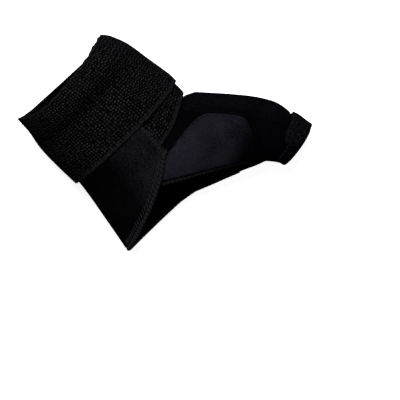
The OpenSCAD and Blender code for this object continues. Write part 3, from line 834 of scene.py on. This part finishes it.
def around(a):
    """Millimetres of cloth along the winding up to an angle, for relief and flat sizes."""
    return np.asarray(a) * MM_PER_DEGREE


def wrap_relief(x, a):
    """The flap lies softly: shallow swells that fade out under the elastic."""
    return 0.22 * relief(x, around(a), 13) * ease(CREASE - 2, CREASE + 14, x) * ease(500, 560, a)


def wrap_seat(x, a):
    return wrap_low(x, a) + NEOPRENE / 2


def lip_line(a):
    """The middle of the roll along the front edge, with its outward directions."""
    arc = np.linalg.norm(wrist(CREASE + 30, a + 1) - wrist(CREASE + 30, a - 1), axis=1)
    lean = np.hypot(1, (wrap_x1_at(np.minimum(a + 1, FLAP_END)) - wrap_x1_at(a - 1)) / arc)
    x = wrap_x1_at(a)
    return station(wrist, x + (EDGE_D / 2 + EDGE_SLIT) * lean, a, wrap_seat(x, a))


print("front edge of the wrap in mm:", wrap_edge.min().round(1), "to", wrap_edge.max().round(1))

# %% Wrap piece
BOUND, WRAP_CUT = 0.9, (92.0, 172.0)


def wrap_place(s, t):
    """The cut, with its bound edges reaching into the roll that is sewn round them."""
    a = mix(WRAP_A, FLAP_END + 1.6, t)
    reach = BOUND * ease(SEAM_A - 4, SEAM_A + 4, a)
    return mix(wrap_x0(a), wrap_x1(a) + reach, s), a


def wrap_under(x, a):
    return wrap_low(x, a) + np.minimum(0, wrap_relief(x, a))


def wrap_top(x, a):
    return wrap_low(x, a) + NEOPRENE + wrap_relief(x, a)


wrap_bm = ply(wrist, (46, 230), WRAP_CUT, wrap_place, wrap_under, wrap_top, FOAM_RIM)
wrap = finish_mesh(wrap_bm, "neoprene_wrap", "wrap", neoprene, ["hand_wrap"])

# %% [markdown]
# ## Ribbed wrist elastic
# The elastic is sewn to the wrap on the back, winds once round and on over the flap, and its loose end
# holds by hooks on the sleeve's side. Its rim is a little wavy, because tight elastic gathers. It could be
# a plain band with a bump, but the ribs also show on the outline, so the cut has enough points for a real
# ripple.

# %% Elastic course
ELASTIC_A, DROP_A, PEEL_A, END_A = 278.0, 690.0, 718.0, 772.0


def elastic_x1(a):
    """The front edge, which climbs from its anchor on the back and then runs almost level."""
    return CREASE + through(a, [(ELASTIC_A, 10.5), (300, 7.4), (320, 3.4), (340, 0.2), (360, -0.8),
                                (450, -2.5), (540, -4), (600, -5), (650, -6), (DROP_A, -7), (PEEL_A, -8),
                                (END_A, -9)])


def elastic_x0(a):
    """The rear edge: worn a little hollow across the back, with the loose end lying a little inside it."""
    hollow = through(a, [(500, 0), (540, -1.2), (556, -1.2), (575, 1.2), (600, 2.9), (640, 2.0), (680, 0.9),
                         (705, 0.4), (722, 2.6), (END_A, 2.6)])
    return np.maximum(0, elastic_x1(a) - ELASTIC_W) + hollow


def end_fill(x, a):
    """How much the hooks hold the loose end up: fully inside, little at its free rim."""
    rim = np.minimum(np.minimum(x - elastic_x0(a), elastic_x1(a) - x), around(END_A) - around(a))
    return mix(0.25, 1, ease(0, 2.6, rim))


def elastic_low(x, a):
    step = (OVER_FLAP - OVER_PANEL) * mix(0.45, 1, ease(0, 14, x))
    return (OVER_PANEL + ease(FLAP_RISE, FLAP_UP, a) * step
            - ease(FLAP_END + 7, DROP_A, a) * (OVER_PANEL + step - OVER_ELASTIC)
            + ease(PEEL_A, PEEL_A + 16, a) * (OVER_HOOK - OVER_ELASTIC) * end_fill(x, a))


def elastic_top(x, a):
    """The outer face ripples along the winding, flat at the selvedges, with a worn fold."""
    inside = np.minimum(x - elastic_x0(a), elastic_x1(a) - x)
    cushions = np.abs(np.sin(np.pi * around(a) / RIB)) * ease(1.0, 4.0, inside)
    fold = np.exp(-((x - FOLD_X - relief(around(a), 0, 9)) / 2.2) ** 2)
    fold = fold * ease(540, 590, a) * (1 - ease(650, DROP_A, a))
    return elastic_low(x, a) + ELASTIC + 0.08 * cushions + 0.12 * relief(x, around(a), 9) - 0.55 * fold


def elastic_place(first, last):
    def place(s, t):
        a = mix(first, last, t)
        gather = 0.22 * np.sin(2 * np.pi * around(a) / 5.5) * (ease(500, 545, a) - 0.5 * ease(700, 715, a))
        return mix(elastic_x0(a) + gather, elastic_x1(a) + 0.6 * gather, s), a
    return place


print("the elastic winds", round((END_A - ELASTIC_A) / 360, 2), "turns")

# %% Elastic piece
FOLD_A = 711.0
CUFF_CUT = (ELASTIC_W, around(FOLD_A) - around(ELASTIC_A))
cuff_place = elastic_place(ELASTIC_A, FOLD_A)
cuff_bm = ply(wrist, (44, 760), CUFF_CUT, cuff_place, elastic_low, elastic_top, CLOTH_RIM)
cuff = finish_mesh(cuff_bm, "ribbed_cuff", "wrap", rib_elastic, ["wrist_elastic"])

# %% [markdown]
# The loose end peels off the sleeve's side. A rigid end on a hinge would crack open at the fold, so the end
# is its own piece that starts a little before the fold, and the line of the fold is worked out for it.

# %% Elastic end
END_CUT = (ELASTIC_W, around(END_A) - around(FOLD_A))
CORNER_R, CORNER_A, END_HALF = 5.0, 9.5, 21
FOLD_MIDDLE, FOLD_H = 21.0, 5.0


def end_place(s, t):
    """The cut of the loose end, with its two corners rounded."""
    x, a = elastic_place(FOLD_A + 0.15, END_A)(s, t)
    pull = np.maximum(0, np.abs(2 * s - 1) * END_HALF - (END_HALF - CORNER_R)) / CORNER_R
    return x, a - t * CORNER_A * (1 - np.sqrt(np.clip(1 - pull**2, 0, 1)))


end_bm = ply(wrist, (44, 110), END_CUT, end_place, elastic_low, elastic_top, CLOTH_RIM)
cuff_end = finish_mesh(end_bm, "ribbed_cuff_end", None, rib_elastic, ["wrist_strap_end"])
fold_start, fold_end = (in_frame(lifted(wrist, FOLD_MIDDLE, a, FOLD_H)) for a in (FOLD_A + 1, FOLD_A + 16))
fold_end = np.array([fold_start[0], fold_start[1], fold_end[2]])
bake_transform(cuff_end)
print("fold from", (fold_start * 1000).round(1), "to", (fold_end * 1000).round(1))

# %% [markdown]
# ## Thumb sleeve
# Two neoprene panels make the sleeve: one on the back and one on the palm side, joined along the outer
# ridge. They could be one tube with a cut, but the real pair has a seam there, so each panel keeps its own
# rounded rim and the two meet in a fine groove.

# %% Sleeve panels
EDGE_END, SEAM_V, SLEEVE_CUT = 0.76, 0.6, (36, 72)


def per_degree(form, u, v):
    """Millimetres of cloth for one degree round the sleeve."""
    return np.linalg.norm(form(u, v) - form(u, v - 1), axis=-1)


def edge_cut(form, u, most):
    """How many degrees a panel is cut back to leave room for the roll along its edge."""
    roll = (EDGE_D / 2 + EDGE_SLIT) / per_degree(form, u, most)
    return mix(roll, SEAM_V, ease(EDGE_END, EDGE_END + 0.06, u))


def back_edge(u):
    return back_max(u) - edge_cut(thumb_back, u, back_max(u))


def palm_edge(u):
    return palm_max(u) - np.where(u <= SEAM, SEAM_V, edge_cut(thumb_palm, u, palm_max(u)))


def sleeve_place(form, edge):
    """The cut, from the ridge seam to an edge that reaches into its roll, and from crease to hem."""
    def place(s, t):
        u = mix(0.0, 1.004, t)
        bound = ease(0.05, 0.08, u) if form is thumb_back else ease(SEAM, SEAM + 0.02, u)
        reach = BOUND * bound / per_degree(form, u, edge(u)) * (1 - ease(EDGE_END, EDGE_END + 0.04, u))
        return u, mix(0.2, edge(u) + reach, s)
    return place


def panel_top(u, v):
    return NEOPRENE + np.minimum(0, 0.12 * relief(SLEEVE_LEN * u, 0.3 * v, 8))


def panel(name, node, form, edge):
    bm = ply(form, (44, 84), SLEEVE_CUT, sleeve_place(form, edge), at(0), panel_top, FOAM_RIM)
    return finish_mesh(bm, name, "thumb", shaded_jersey, [node])


back_panel = panel("sleeve_back", "thumb_back_panel", thumb_back, back_edge)
palm_panel = panel("sleeve_palm", "thumb_palm_panel", thumb_palm, palm_edge)

# %% [markdown]
# ## Stay pockets
# A flat stay lies in a plush pocket along the ridge, and a second one on the palm side. The pocket is sewn
# down along its rim and stands up over the stay, so its height is a smooth bump across the pocket.
# Inflating a flat cushion by cloth simulation would lose the long straight form that the stay gives it.

# %% Pockets
COVER_0, COVER_1, BACK_STAY_V, PALM_STAY_V = 0.02, 0.86, 21.0, 38.0
CAP_T, STAY_0, STAY_1 = 1.6, 0.132, 0.688
STAY_HALF, STAY_ROOM, SLOPE, STITCH_GAP = 3.4, 0.7, 2.2, 0.04
CHANNEL, SEAT = STAY_HALF + STAY_ROOM, NEOPRENE + STITCH_GAP


def pocket_low(form, middle):
    """The under side: lifted over the stay, and falling to the panel at the rim and the far end."""
    def low(u, v):
        far = np.abs(v - middle) * per_degree(form, u, middle)
        over = (1 - ease(CHANNEL, CHANNEL + SLOPE, far)) * ease(COVER_0, STAY_0, u)
        fall = np.clip((u - STAY_1) / (COVER_1 - STAY_1), 0, 1) ** 1.6
        return SEAT + over * (1 - fall) * (CAP_T + 3 * GAP)
    return low


def pocket_top(form, middle):
    """The outer side, thinner where the pocket is sewn down."""
    low = pocket_low(form, middle)

    def top(u, v):
        far = (v - middle) * per_degree(form, u, middle)
        end = SLEEVE_LEN * np.minimum(u - COVER_0, COVER_1 - u)
        thick = POCKET * mix(1, 0.5, np.maximum(ease(CHANNEL, CHANNEL + SLOPE, far), 1 - ease(0, 2, end)))
        return low(u, v) + thick + 0.12 * (low(u, v) - SEAT) + 0.06 * relief(SLEEVE_LEN * u, 0.4 * v, 5)
    return top


def pocket_half(form, u, middle):
    """Half the width of a pocket, in degrees round the sleeve."""
    return (CHANNEL + SLOPE) / per_degree(form, u, middle)


def pocket_place(form, middle):
    """The cut, a long strip with round ends."""
    def place(s, t):
        u = mix(COVER_0, COVER_1, t)
        ends = np.clip(np.maximum(0.05 - t, t - 0.95) / 0.05, 0, 1)
        half = pocket_half(form, u, middle) * (1 - 0.32 * (1 - np.sqrt(1 - 0.96 * ends**2)))
        return u, np.maximum(SEAM_V, middle + (2 * s - 1) * half)
    return place


def stay_pocket(name, node, form, middle):
    bm = ply(form, (36, 110), (18, 58), pocket_place(form, middle), pocket_low(form, middle),
             pocket_top(form, middle), CLOTH_RIM)
    finish_mesh(bm, name, "thumb", plush, [node])


stay_pocket("pocket_back", "back_stay_cover", thumb_back, BACK_STAY_V)
stay_pocket("pocket_palm", "palm_stay_cover", thumb_palm, PALM_STAY_V)

# %% [markdown]
# ## Suede patch
# A lighter patch lies on the back of the sleeve between the pocket and the slanted edge. Its near corner is
# round and its far end is cut at a slant. A Boolean could trim it from a plain sheet, but that leaves a
# ragged mesh, so it is a ply like the others, with a curve for its upper border.

# %% Patch
PATCH_0, PATCH_1, PATCH_CUT = 0.05, 0.73, (23, 42)
BY_POCKET, BY_EDGE = 2, 3


def patch_v0(u):
    """The upper border: beside the pocket, with a round near corner and a slanted far end."""
    off = through(u, [(PATCH_0, 46), (PATCH_0 + 0.03, 30), (PATCH_0 + 0.07, 15), (PATCH_0 + 0.12, 4),
                      (PATCH_0 + 0.17, 0), (0.46, 0), (0.52, 5), (0.6, 24), (0.68, 58), (PATCH_1, 84)])
    return BACK_STAY_V + pocket_half(thumb_back, u, BACK_STAY_V) + BY_POCKET + off


def patch_place(s, t):
    u = mix(PATCH_0, PATCH_1, t)
    return u, mix(patch_v0(u), back_edge(u) - BY_EDGE, s)


def patch_top(u, v):
    return OVER_PANEL + POCKET + 0.1 * relief(SLEEVE_LEN * u, 0.4 * v, 7)


patch_bm = ply(thumb_back, (36, 70), PATCH_CUT, patch_place, at(SEAT), patch_top, CLOTH_RIM)
patch = finish_mesh(patch_bm, "suede_patch", "thumb", suede, ["thumb_patch"])

# %% Stitches round the patch
SEAM_INSET, STITCH_U = 1.3, 0.012
border = np.linspace(PATCH_0 + 0.02, PATCH_1 - 0.04, 32)
inset = SEAM_INSET / per_degree(thumb_back, border, patch_v0(border))
patch_pairs = [((u, patch_v0(u) + k), (u + STITCH_U, patch_v0(u + STITCH_U) + k))
               for u, k in zip(border, inset)]
finish_mesh(stitches(thumb_back, patch_pairs, at(OVER_PANEL + POCKET + 0.12), 0.5),
            "patch_seam", "thumb", dark_thread, ["patch_stitches"])

# %% [markdown]
# ## Gusset
# A thinner stretch strip joins the wrap to the sleeve, so the sleeve can flex a little. A bridge between
# two edge loops would do, but the edges are not parallel, so it is a grid between two rows of marks. Three
# lengths of it are separate pieces, and for each the line across it is worked out.

# %% Gusset strips
CORNER, ROUND_SHARE = 0.14, 0.12
THINNER, HOLLOW, TUCK, MIDDLE_H = 0.35, 0.5, 0.9, 1.2


def gusset_palm(k):
    """Down from the end of the ridge for a small share, then along the palm seam."""
    u = np.maximum(0, (k - ROUND_SHARE) / (1 - ROUND_SHARE)) * SEAM
    v = np.minimum(1, k / ROUND_SHARE) * (palm_max(u) - SEAM_V)
    mid, half = oval(PALM_X)
    y = thumb_palm(u, v)[..., 1] + GUSSET_PALM * GUSSET_WAY[1]
    a = 360 + np.degrees(np.arccos(np.clip((y - mid) / half, -1, 1)))
    return a, thumb_palm, u, np.maximum(SEAM_V, v)


def gusset_back(k):
    """Along the crease on the back up to k = 1, then round the end of the ridge to the palm course."""
    a = mix(WRAP_A + 2, 360, np.minimum(1, k))
    y = wrist(CREASE + 8, a)[..., 1]
    w = np.maximum(0, (ridge_0[1] - y) / (ridge_0[1] - tongue[1]))
    v = np.degrees(np.arccos(1 - w * (1 - math.cos(math.radians(float(back_max(0.0)))))))
    turn = np.maximum(0, k - 1) / CORNER
    a = mix(a, gusset_palm(np.zeros(1))[0][0], turn)
    return a, thumb, np.zeros_like(v), mix(np.maximum(SEAM_V, v), -SEAM_V, turn)


def gusset_strip(name, course, first, last, count, nodes, tail=None):
    """A strip between the wrap's edge and the sleeve's edge, hollowed in its middle; tail adds a last row."""
    a, form, u, v = course(np.linspace(first, last, count))
    rows = [station(wrist, wrap_x1(a), a, np.zeros(count)), station(form, u, v, np.zeros(count))]
    if tail:
        rows = [[np.vstack(both) for both in zip(row, end)] for row, end in zip(rows, tail)]
    (here, here_up), (there, there_up) = rows

    def points(s, t, level):
        i = np.rint(t * (len(here) - 1)).astype(int)
        height = (mix(THINNER, NEOPRENE - THINNER, level) - HOLLOW * np.sin(np.pi * s))[:, None]
        start, end = here[i] + height * here_up[i], there[i] + height * there_up[i]
        inset = -TUCK / np.maximum(np.linalg.norm(end - start, axis=1, keepdims=True), 0.5)
        return mix(start, end, inset + (1 - 2 * inset) * s[:, None])

    strip_bm = solid_cloth((10, len(here) - 1), (6, 40), points, THIN_RIM)
    strip = finish_mesh(strip_bm, name, None, stretch, nodes)
    across = [tuple(in_frame((row + MIDDLE_H * up).mean(0))) for row, up in rows]
    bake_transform(strip)
    return across


LIP_A, LIP_U = SEAM_A + 2, SEAM + 0.02
lip_ends = [lip_line(np.array([LIP_A])),
            station(thumb_palm, np.array([LIP_U]), palm_max(np.array([LIP_U])), np.array([NEOPRENE / 2]))]
lip_tail = [(point - NEOPRENE / 2 * up, up) for point, up in lip_ends]
gusset_strip("gusset_back", gusset_back, 0.0, 1 + CORNER, 70, ["thumb_gusset"])
gusset_strip("gusset_crease", gusset_palm, 0.0, 0.5, 48, [])
gusset_across = gusset_strip("gusset_palm", gusset_palm, 0.475, 0.985, 46, [], lip_tail)

# %% [markdown]
# ## Thumb opening
# The mouth of the sleeve ends in a turned hem. A torus would be too round and a tube too sharp, so a grid
# is rolled twice, round the mouth and round a squarish section, and merged. A line of stitches round the
# sleeve holds the part that is turned in.

# %% Hem
def mouth(u, v):
    """The wall of the round opening: u along it in millimetres, v the angle round it."""
    u, v = paired(u, v)
    turn = np.radians(v)[..., None]
    flat = open_c + u[..., None] * open_way + OPEN_R * np.cos(turn) * open_side
    return np.concatenate([flat, OPEN_Z + OPEN_R * np.sin(turn)], -1)


def squarish(c):
    """A sine or cosine flattened, so that a circle becomes a square with round corners."""
    return np.sign(c) * np.abs(c) ** SQUARER


mouth.side = -1
HEM_LAP, SQUARER = 0.2, 0.55
hem_bm = flat_grid(120, 24)
keep_cut(hem_bm, (74, 10))
s, t, _ = spots(hem_bm).T
section = 2 * math.pi * t
hem_u = (HEM - HEM_LAP) / 2 + (HEM + HEM_LAP) / 2 * squarish(np.cos(section))
hem_h = NEOPRENE / 2 * (1 + squarish(np.sin(section)))
move_to(hem_bm, in_frame(lifted(mouth, hem_u, 360 * s, hem_h)))
bmesh.ops.remove_doubles(hem_bm, verts=hem_bm.verts, dist=MERGE)
bmesh.ops.recalc_face_normals(hem_bm, faces=hem_bm.faces)
finish_mesh(hem_bm, "turned_hem", "thumb", shaded_jersey, ["thumb_hem"])

# %% Hem stitches
HEM_SEAM_U, STITCH_V, PITCH_V = 0.945, 7.0, 11.0
hem_pairs = [((HEM_SEAM_U, v), (HEM_SEAM_U, v + STITCH_V)) for v in np.arange(-176, 170, PITCH_V)]
finish_mesh(stitches(thumb, hem_pairs, at(NEOPRENE), 0.32), "hem_seam", "thumb", thread)

# %% [markdown]
# ## Overlocked edges
# The open edges of the flap and the sleeve are bound by an overlock machine: a thread winds round the edge
# and slanted stitches reach onto the face. A striped texture would look flat on the outline, so the edge is
# a roll with real threads wound round it, and the slanted stitches are laid on the cloth beside it.

# %% Overlock helper
EDGE_R, WIND_PITCH, THREAD_R = EDGE_D / 2, 2.3, 0.17


def overlock(name, nodes, lines, body):
    """Rolls along the lines with two threads wound round them."""
    roll_bm, thread_bm = bmesh.new(), bmesh.new()
    for points, ups in lines:
        fine, fine_ups, length = even(points, ups, 0.8)
        swell = EDGE_R * (0.84 + 0.04 * np.sin(2 * np.pi * length / WIND_PITCH))
        join_into(roll_bm, tube(fine, fine_ups, swell, 14))
        for start in (0.0, 2.2):
            winding, out = wound(points, ups, EDGE_R * 0.85, WIND_PITCH, start)
            join_into(thread_bm, tube(winding, out, THREAD_R, 5))
    return (finish_mesh(roll_bm, name, body, edging, nodes),
            finish_mesh(thread_bm, name + "_thread", body, thread))


# %% Sleeve edges
back_u = np.linspace(0.06, EDGE_END, 60)
palm_u = np.linspace(LIP_U, EDGE_END, 20)
overlock("sleeve_edge", ["thumb_overlock"],
         [station(thumb_back, back_u, back_max(back_u), np.full(60, NEOPRENE / 2)),
          station(thumb_palm, palm_u, palm_max(palm_u), np.full(20, NEOPRENE / 2))], "thumb")

# %% Flap edges
CORNER_OUT, END_OUT, COVERED_X = 2.2, 2.7, 22
lip = lip_line(np.linspace(LIP_A, FLAP_END, 150))
x_end = float(wrap_x1_at(np.array(FLAP_END)))
corner = station(wrist, np.array([x_end + EDGE_R + EDGE_SLIT]), np.array([FLAP_END + CORNER_OUT]),
                 wrap_seat(np.array([x_end]), FLAP_END))
flap_x = np.linspace(x_end - 1, COVERED_X, 30)
end = station(wrist, flap_x, np.full(30, FLAP_END + END_OUT), wrap_seat(flap_x, FLAP_END))
flap_line = tuple(np.concatenate(parts) for parts in zip(lip, corner, end))
overlock("flap_edge", ["wrap_overlock"], [flap_line], "wrap")

# %% Edge across the gusset
# The binding runs on from the wrap to the sleeve over the end of the stretch strip.
along = np.linspace(-0.1, 1.1, 7)[:, None]
bridge = [mix(near, far, along) for near, far in zip(*lip_ends)]
for piece in overlock("gusset_edge", [], [bridge], None):
    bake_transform(piece)

# %% Slanted stitches beside the edges
OUTER_MM, WHIP_W, WHIP_U = 0.7, 0.42, 0.024
PROUD = 0.05
whip_a = np.arange(560, FLAP_END - 3, 3.1)
flap_pairs = [((x + OUTER_MM, a), (x - 2.3, a + 1.7)) for x, a in zip(wrap_x1_at(whip_a), whip_a)]
flap_whip = stitches(wrist, flap_pairs, lambda x, a: wrap_low(x, a) + NEOPRENE + PROUD, WHIP_W)
finish_mesh(flap_whip, "flap_whip_stitches", "wrap", thread)
sleeve_pairs = []
for u in np.arange(0.08, EDGE_END - 0.05, WHIP_U):
    edge_v, next_v = back_edge(np.array([u, u + WHIP_U]))
    mm = per_degree(thumb_back, u, edge_v)
    sleeve_pairs.append(((u, edge_v + OUTER_MM / mm), (u + WHIP_U, next_v - 2.2 / mm)))
sleeve_whip = stitches(thumb_back, sleeve_pairs, at(NEOPRENE + PROUD), WHIP_W)
finish_mesh(sleeve_whip, "sleeve_whip_stitches", "thumb", thread)

# %% [markdown]
# ## Thumb strap
# A narrow woven strap is tacked under the sleeve, runs over the ridge and holds on the back by hooks. Its
# loose tab could be one piece with it, but then nothing would peel, so the tab is its own piece. Like the
# loose end of the elastic, it starts before the fold, and the line of the fold is worked out for it.

# %% Thumb strap
STRAP_1, STRAP_CUT = 1.027, (STRAP_W, 30)
STRAP_0 = STRAP_1 - STRAP_W / SLEEVE_LEN
SEWN_V, STRAP_FOLD_V, TIP_V, TIP_ROUND = -150.0, -27.0, 96.0, 26
HEM_LIFT, ARCH, SAG_RIM = 0.35, 1.2, 2.4
TAB_MIDDLE, TAB_H, TAB_MM_PER_DEGREE = 0.94, 3.4, 0.24


def tab_tip(s):
    """The round end of the tab."""
    return TIP_V - TIP_ROUND * (1 - np.sqrt(1 - 0.98 * (2 * s - 1) ** 2))


def strap_low(u, v):
    """The strap clears the hem; its tab arches over the ridge, stands on its hooks and sags at its rim."""
    across = np.clip((np.asarray(u) - STRAP_0) / (STRAP_1 - STRAP_0), 0, 1)
    rim = np.minimum(STRAP_W * np.minimum(across, 1 - across), TAB_MM_PER_DEGREE * (tab_tip(across) - v))
    arch = mix(ARCH, 0.1, ease(0.2, 1, across)) * ease(-14, 8, v) * (1 - ease(20, 46, v))
    hooked = ease(15, 45, v) * (HOOK + GAP) * mix(0.15, 1, ease(0, SAG_RIM, rim))
    return OVER_PANEL + HEM_LIFT * ease(0.55, 1, across) + arch + hooked


def strap_top(u, v):
    return strap_low(u, v) + STRAP


def strap_place(s, t):
    return mix(STRAP_0, STRAP_1, s), mix(SEWN_V, STRAP_FOLD_V - 0.3, t)


def tab_place(s, t):
    return mix(STRAP_0, STRAP_1, s), mix(STRAP_FOLD_V, tab_tip(s), t)


strap_bm = ply(thumb, (16, 90), STRAP_CUT, strap_place, strap_low, strap_top, WEB_RIM)
strap = finish_mesh(strap_bm, "thumb_webbing", "thumb", webbing, ["thumb_strap"])
tab_bm = ply(thumb, (20, 90), STRAP_CUT, tab_place, strap_low, strap_top, WEB_RIM)
tab = finish_mesh(tab_bm, "thumb_webbing_end", None, webbing, ["thumb_strap_end"])
tab_start, tab_end = (in_frame(lifted(thumb, TAB_MIDDLE, v, TAB_H))
                      for v in (STRAP_FOLD_V + 3, STRAP_FOLD_V + 21))
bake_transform(tab)

# %% Strap tacks and sewing lines
STITCH_MM, SEWN_W = 1.9, 0.45


def sewn_rows(xs, angles):
    """Short stitches along the tube at each x and each angle."""
    return [((x, a), (x + STITCH_MM, a)) for x in xs for a in angles]


tack_u = STRAP_0 + np.linspace(0.1, 0.86, 9) * (STRAP_1 - STRAP_0)
tack_pairs = [((u, SEWN_V + 6), (u + 0.008, SEWN_V + 17)) for u in tack_u]
finish_mesh(stitches(thumb, tack_pairs, lambda u, v: strap_top(u, v) + PROUD, 0.5),
            "strap_bartack", "thumb", thread, ["thumb_strap_bartack"])
anchor_x = np.linspace(float(elastic_x1(np.array(FLAP_END))) + 3, CREASE + 13, 8)
anchor = stitches(wrist, sewn_rows(anchor_x, (FLAP_END - 12, FLAP_END - 5)),
                  lambda x, a: wrap_top(x, a) + PROUD, SEWN_W)
finish_mesh(anchor, "anchor_seam", "wrap", dark_thread, ["anchor_stitches"])
end_x = np.linspace(6, float(elastic_x1(np.array(END_A))) - 8.2, 12)
end_seam = stitches(wrist, sewn_rows(end_x, (PEEL_A + 21, END_A - 4)),
                    lambda x, a: elastic_top(x, a) + 0.08, SEWN_W)
finish_mesh(end_seam, "cuff_end_seam", "wrist_tab", dark_thread, ["strap_end_stitches"])

# %% [markdown]
# ## Frayed ends
# Where the flap ends, a few thread ends have worked loose. Hair particles would scatter them evenly, but a
# tuft is uneven, so each end is its own thin bent tube with a fixed draw of chance.

# %% Loose threads
TUFT_SEED, TUFT_COUNT, TUFT_X, TUFT_R = 11, 26, 17, 0.12
chance = np.random.default_rng(TUFT_SEED)
k = np.linspace(0, 1, 9)[:, None]
tuft_bm = bmesh.new()
for _ in range(TUFT_COUNT):
    x = np.array([x_end + 1.2 - TUFT_X * chance.random() ** 1.6])
    seat = wrap_seat(x, FLAP_END)
    (root,), (out,) = station(wrist, x, np.array([FLAP_END + CORNER_OUT]), seat + 0.7)
    onward = station(wrist, x, np.array([FLAP_END + 7.0]), seat)[0][0] - root
    onward /= np.linalg.norm(onward)
    sideways = np.cross(out, onward)
    swing, length, droop = chance.normal(0, 0.9), 1.8 + 2.6 * chance.random(), 0.25 + 0.3 * chance.random()
    bent = root + length * (k * onward + swing * k**1.6 * sideways + 0.35 * k * out - droop * k**2 * out)
    join_into(tuft_bm, tube(bent, np.tile(out, (9, 1)), TUFT_R * (1 - 0.4 * k[:, 0]), 5))
finish_mesh(tuft_bm, "frayed_threads", "wrap", thread)

# %% [markdown]
# ## Hidden parts
# The stays and their caps are right as solids, so they stay and only get finishes: spring steel with fine
# scratches along it, and dipped plastic. The hook patches have to follow the cloth that they are sewn to,
# so each is a thin ply of its own, with stiff little hooks in rows.

# %% Stays and caps
metal = finish("spring_steel", twisted, "Object", (0.45, 0.45, 0.46), (0.62, 0.62, 0.64), 0.15, 0.05,
               {"Roughness": 0.38, "Metallic": 1.0}, Twist=1400.0)
dipped = finish("dipped_plastic", twisted, "Object", (0.012, 0.012, 0.013), (0.026, 0.026, 0.028), 0.2, 0.1,
                {"Roughness": 0.42}, Twist=300.0)
for node, made in (("back_stay", metal), ("palm_stay", metal), ("stay_caps", dipped)):
    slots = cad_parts[node].data.materials
    slots.clear()
    slots.append(made)
    print(node, "gets", made.name)

# %% Hook tape
hook_face, given, result = cloth_face("hook_rows", Rows=900.0)
rows = texture(hook_face, "ShaderNodeTexVoronoi", given["Vector"], given["Rows"], Randomness=0.35)
far = calc(hook_face, "MINIMUM", calc(hook_face, "MULTIPLY", rows.outputs["Distance"], 1.8), 1.0)
stub = calc(hook_face, "SUBTRACT", 1.0, far)
put_out(hook_face, result, stub, stub)
hooks = finish("hook_tape", hook_face, "Object", (0.002, 0.002, 0.0023), (0.013, 0.013, 0.0145), 1.0, 0.5,
               {**matt(0.5), "Specular IOR Level": 0.15, "Sheen Weight": 0.0})

# %% Hook patches
HOOK_INSET = 3.0


def end_hook_place(s, t):
    a = mix(PEEL_A + 18, END_A - 6, t)
    return mix(elastic_x0(a) + HOOK_INSET, elastic_x1(a) - HOOK_INSET, s), a


def tab_hook_place(s, t):
    inset = HOOK_INSET / SLEEVE_LEN
    return mix(STRAP_0 + inset, STRAP_1 - inset, s), mix(47, TIP_V - 13, t)


hook_bm = ply(wrist, (30, 16), (38, 14), end_hook_place, at(OVER_ELASTIC), at(OVER_ELASTIC + HOOK), TAPE_RIM)
finish_mesh(hook_bm, "hook_patch", "wrist_tab", hooks, ["wrist_hook"])
hook_bm = ply(thumb, (10, 16), (6, 9), tab_hook_place, at(OVER_PANEL), at(OVER_PANEL + HOOK), TAPE_RIM)
finish_mesh(hook_bm, "tab_hook_patch", "thumb_tab", hooks, ["thumb_hook"])
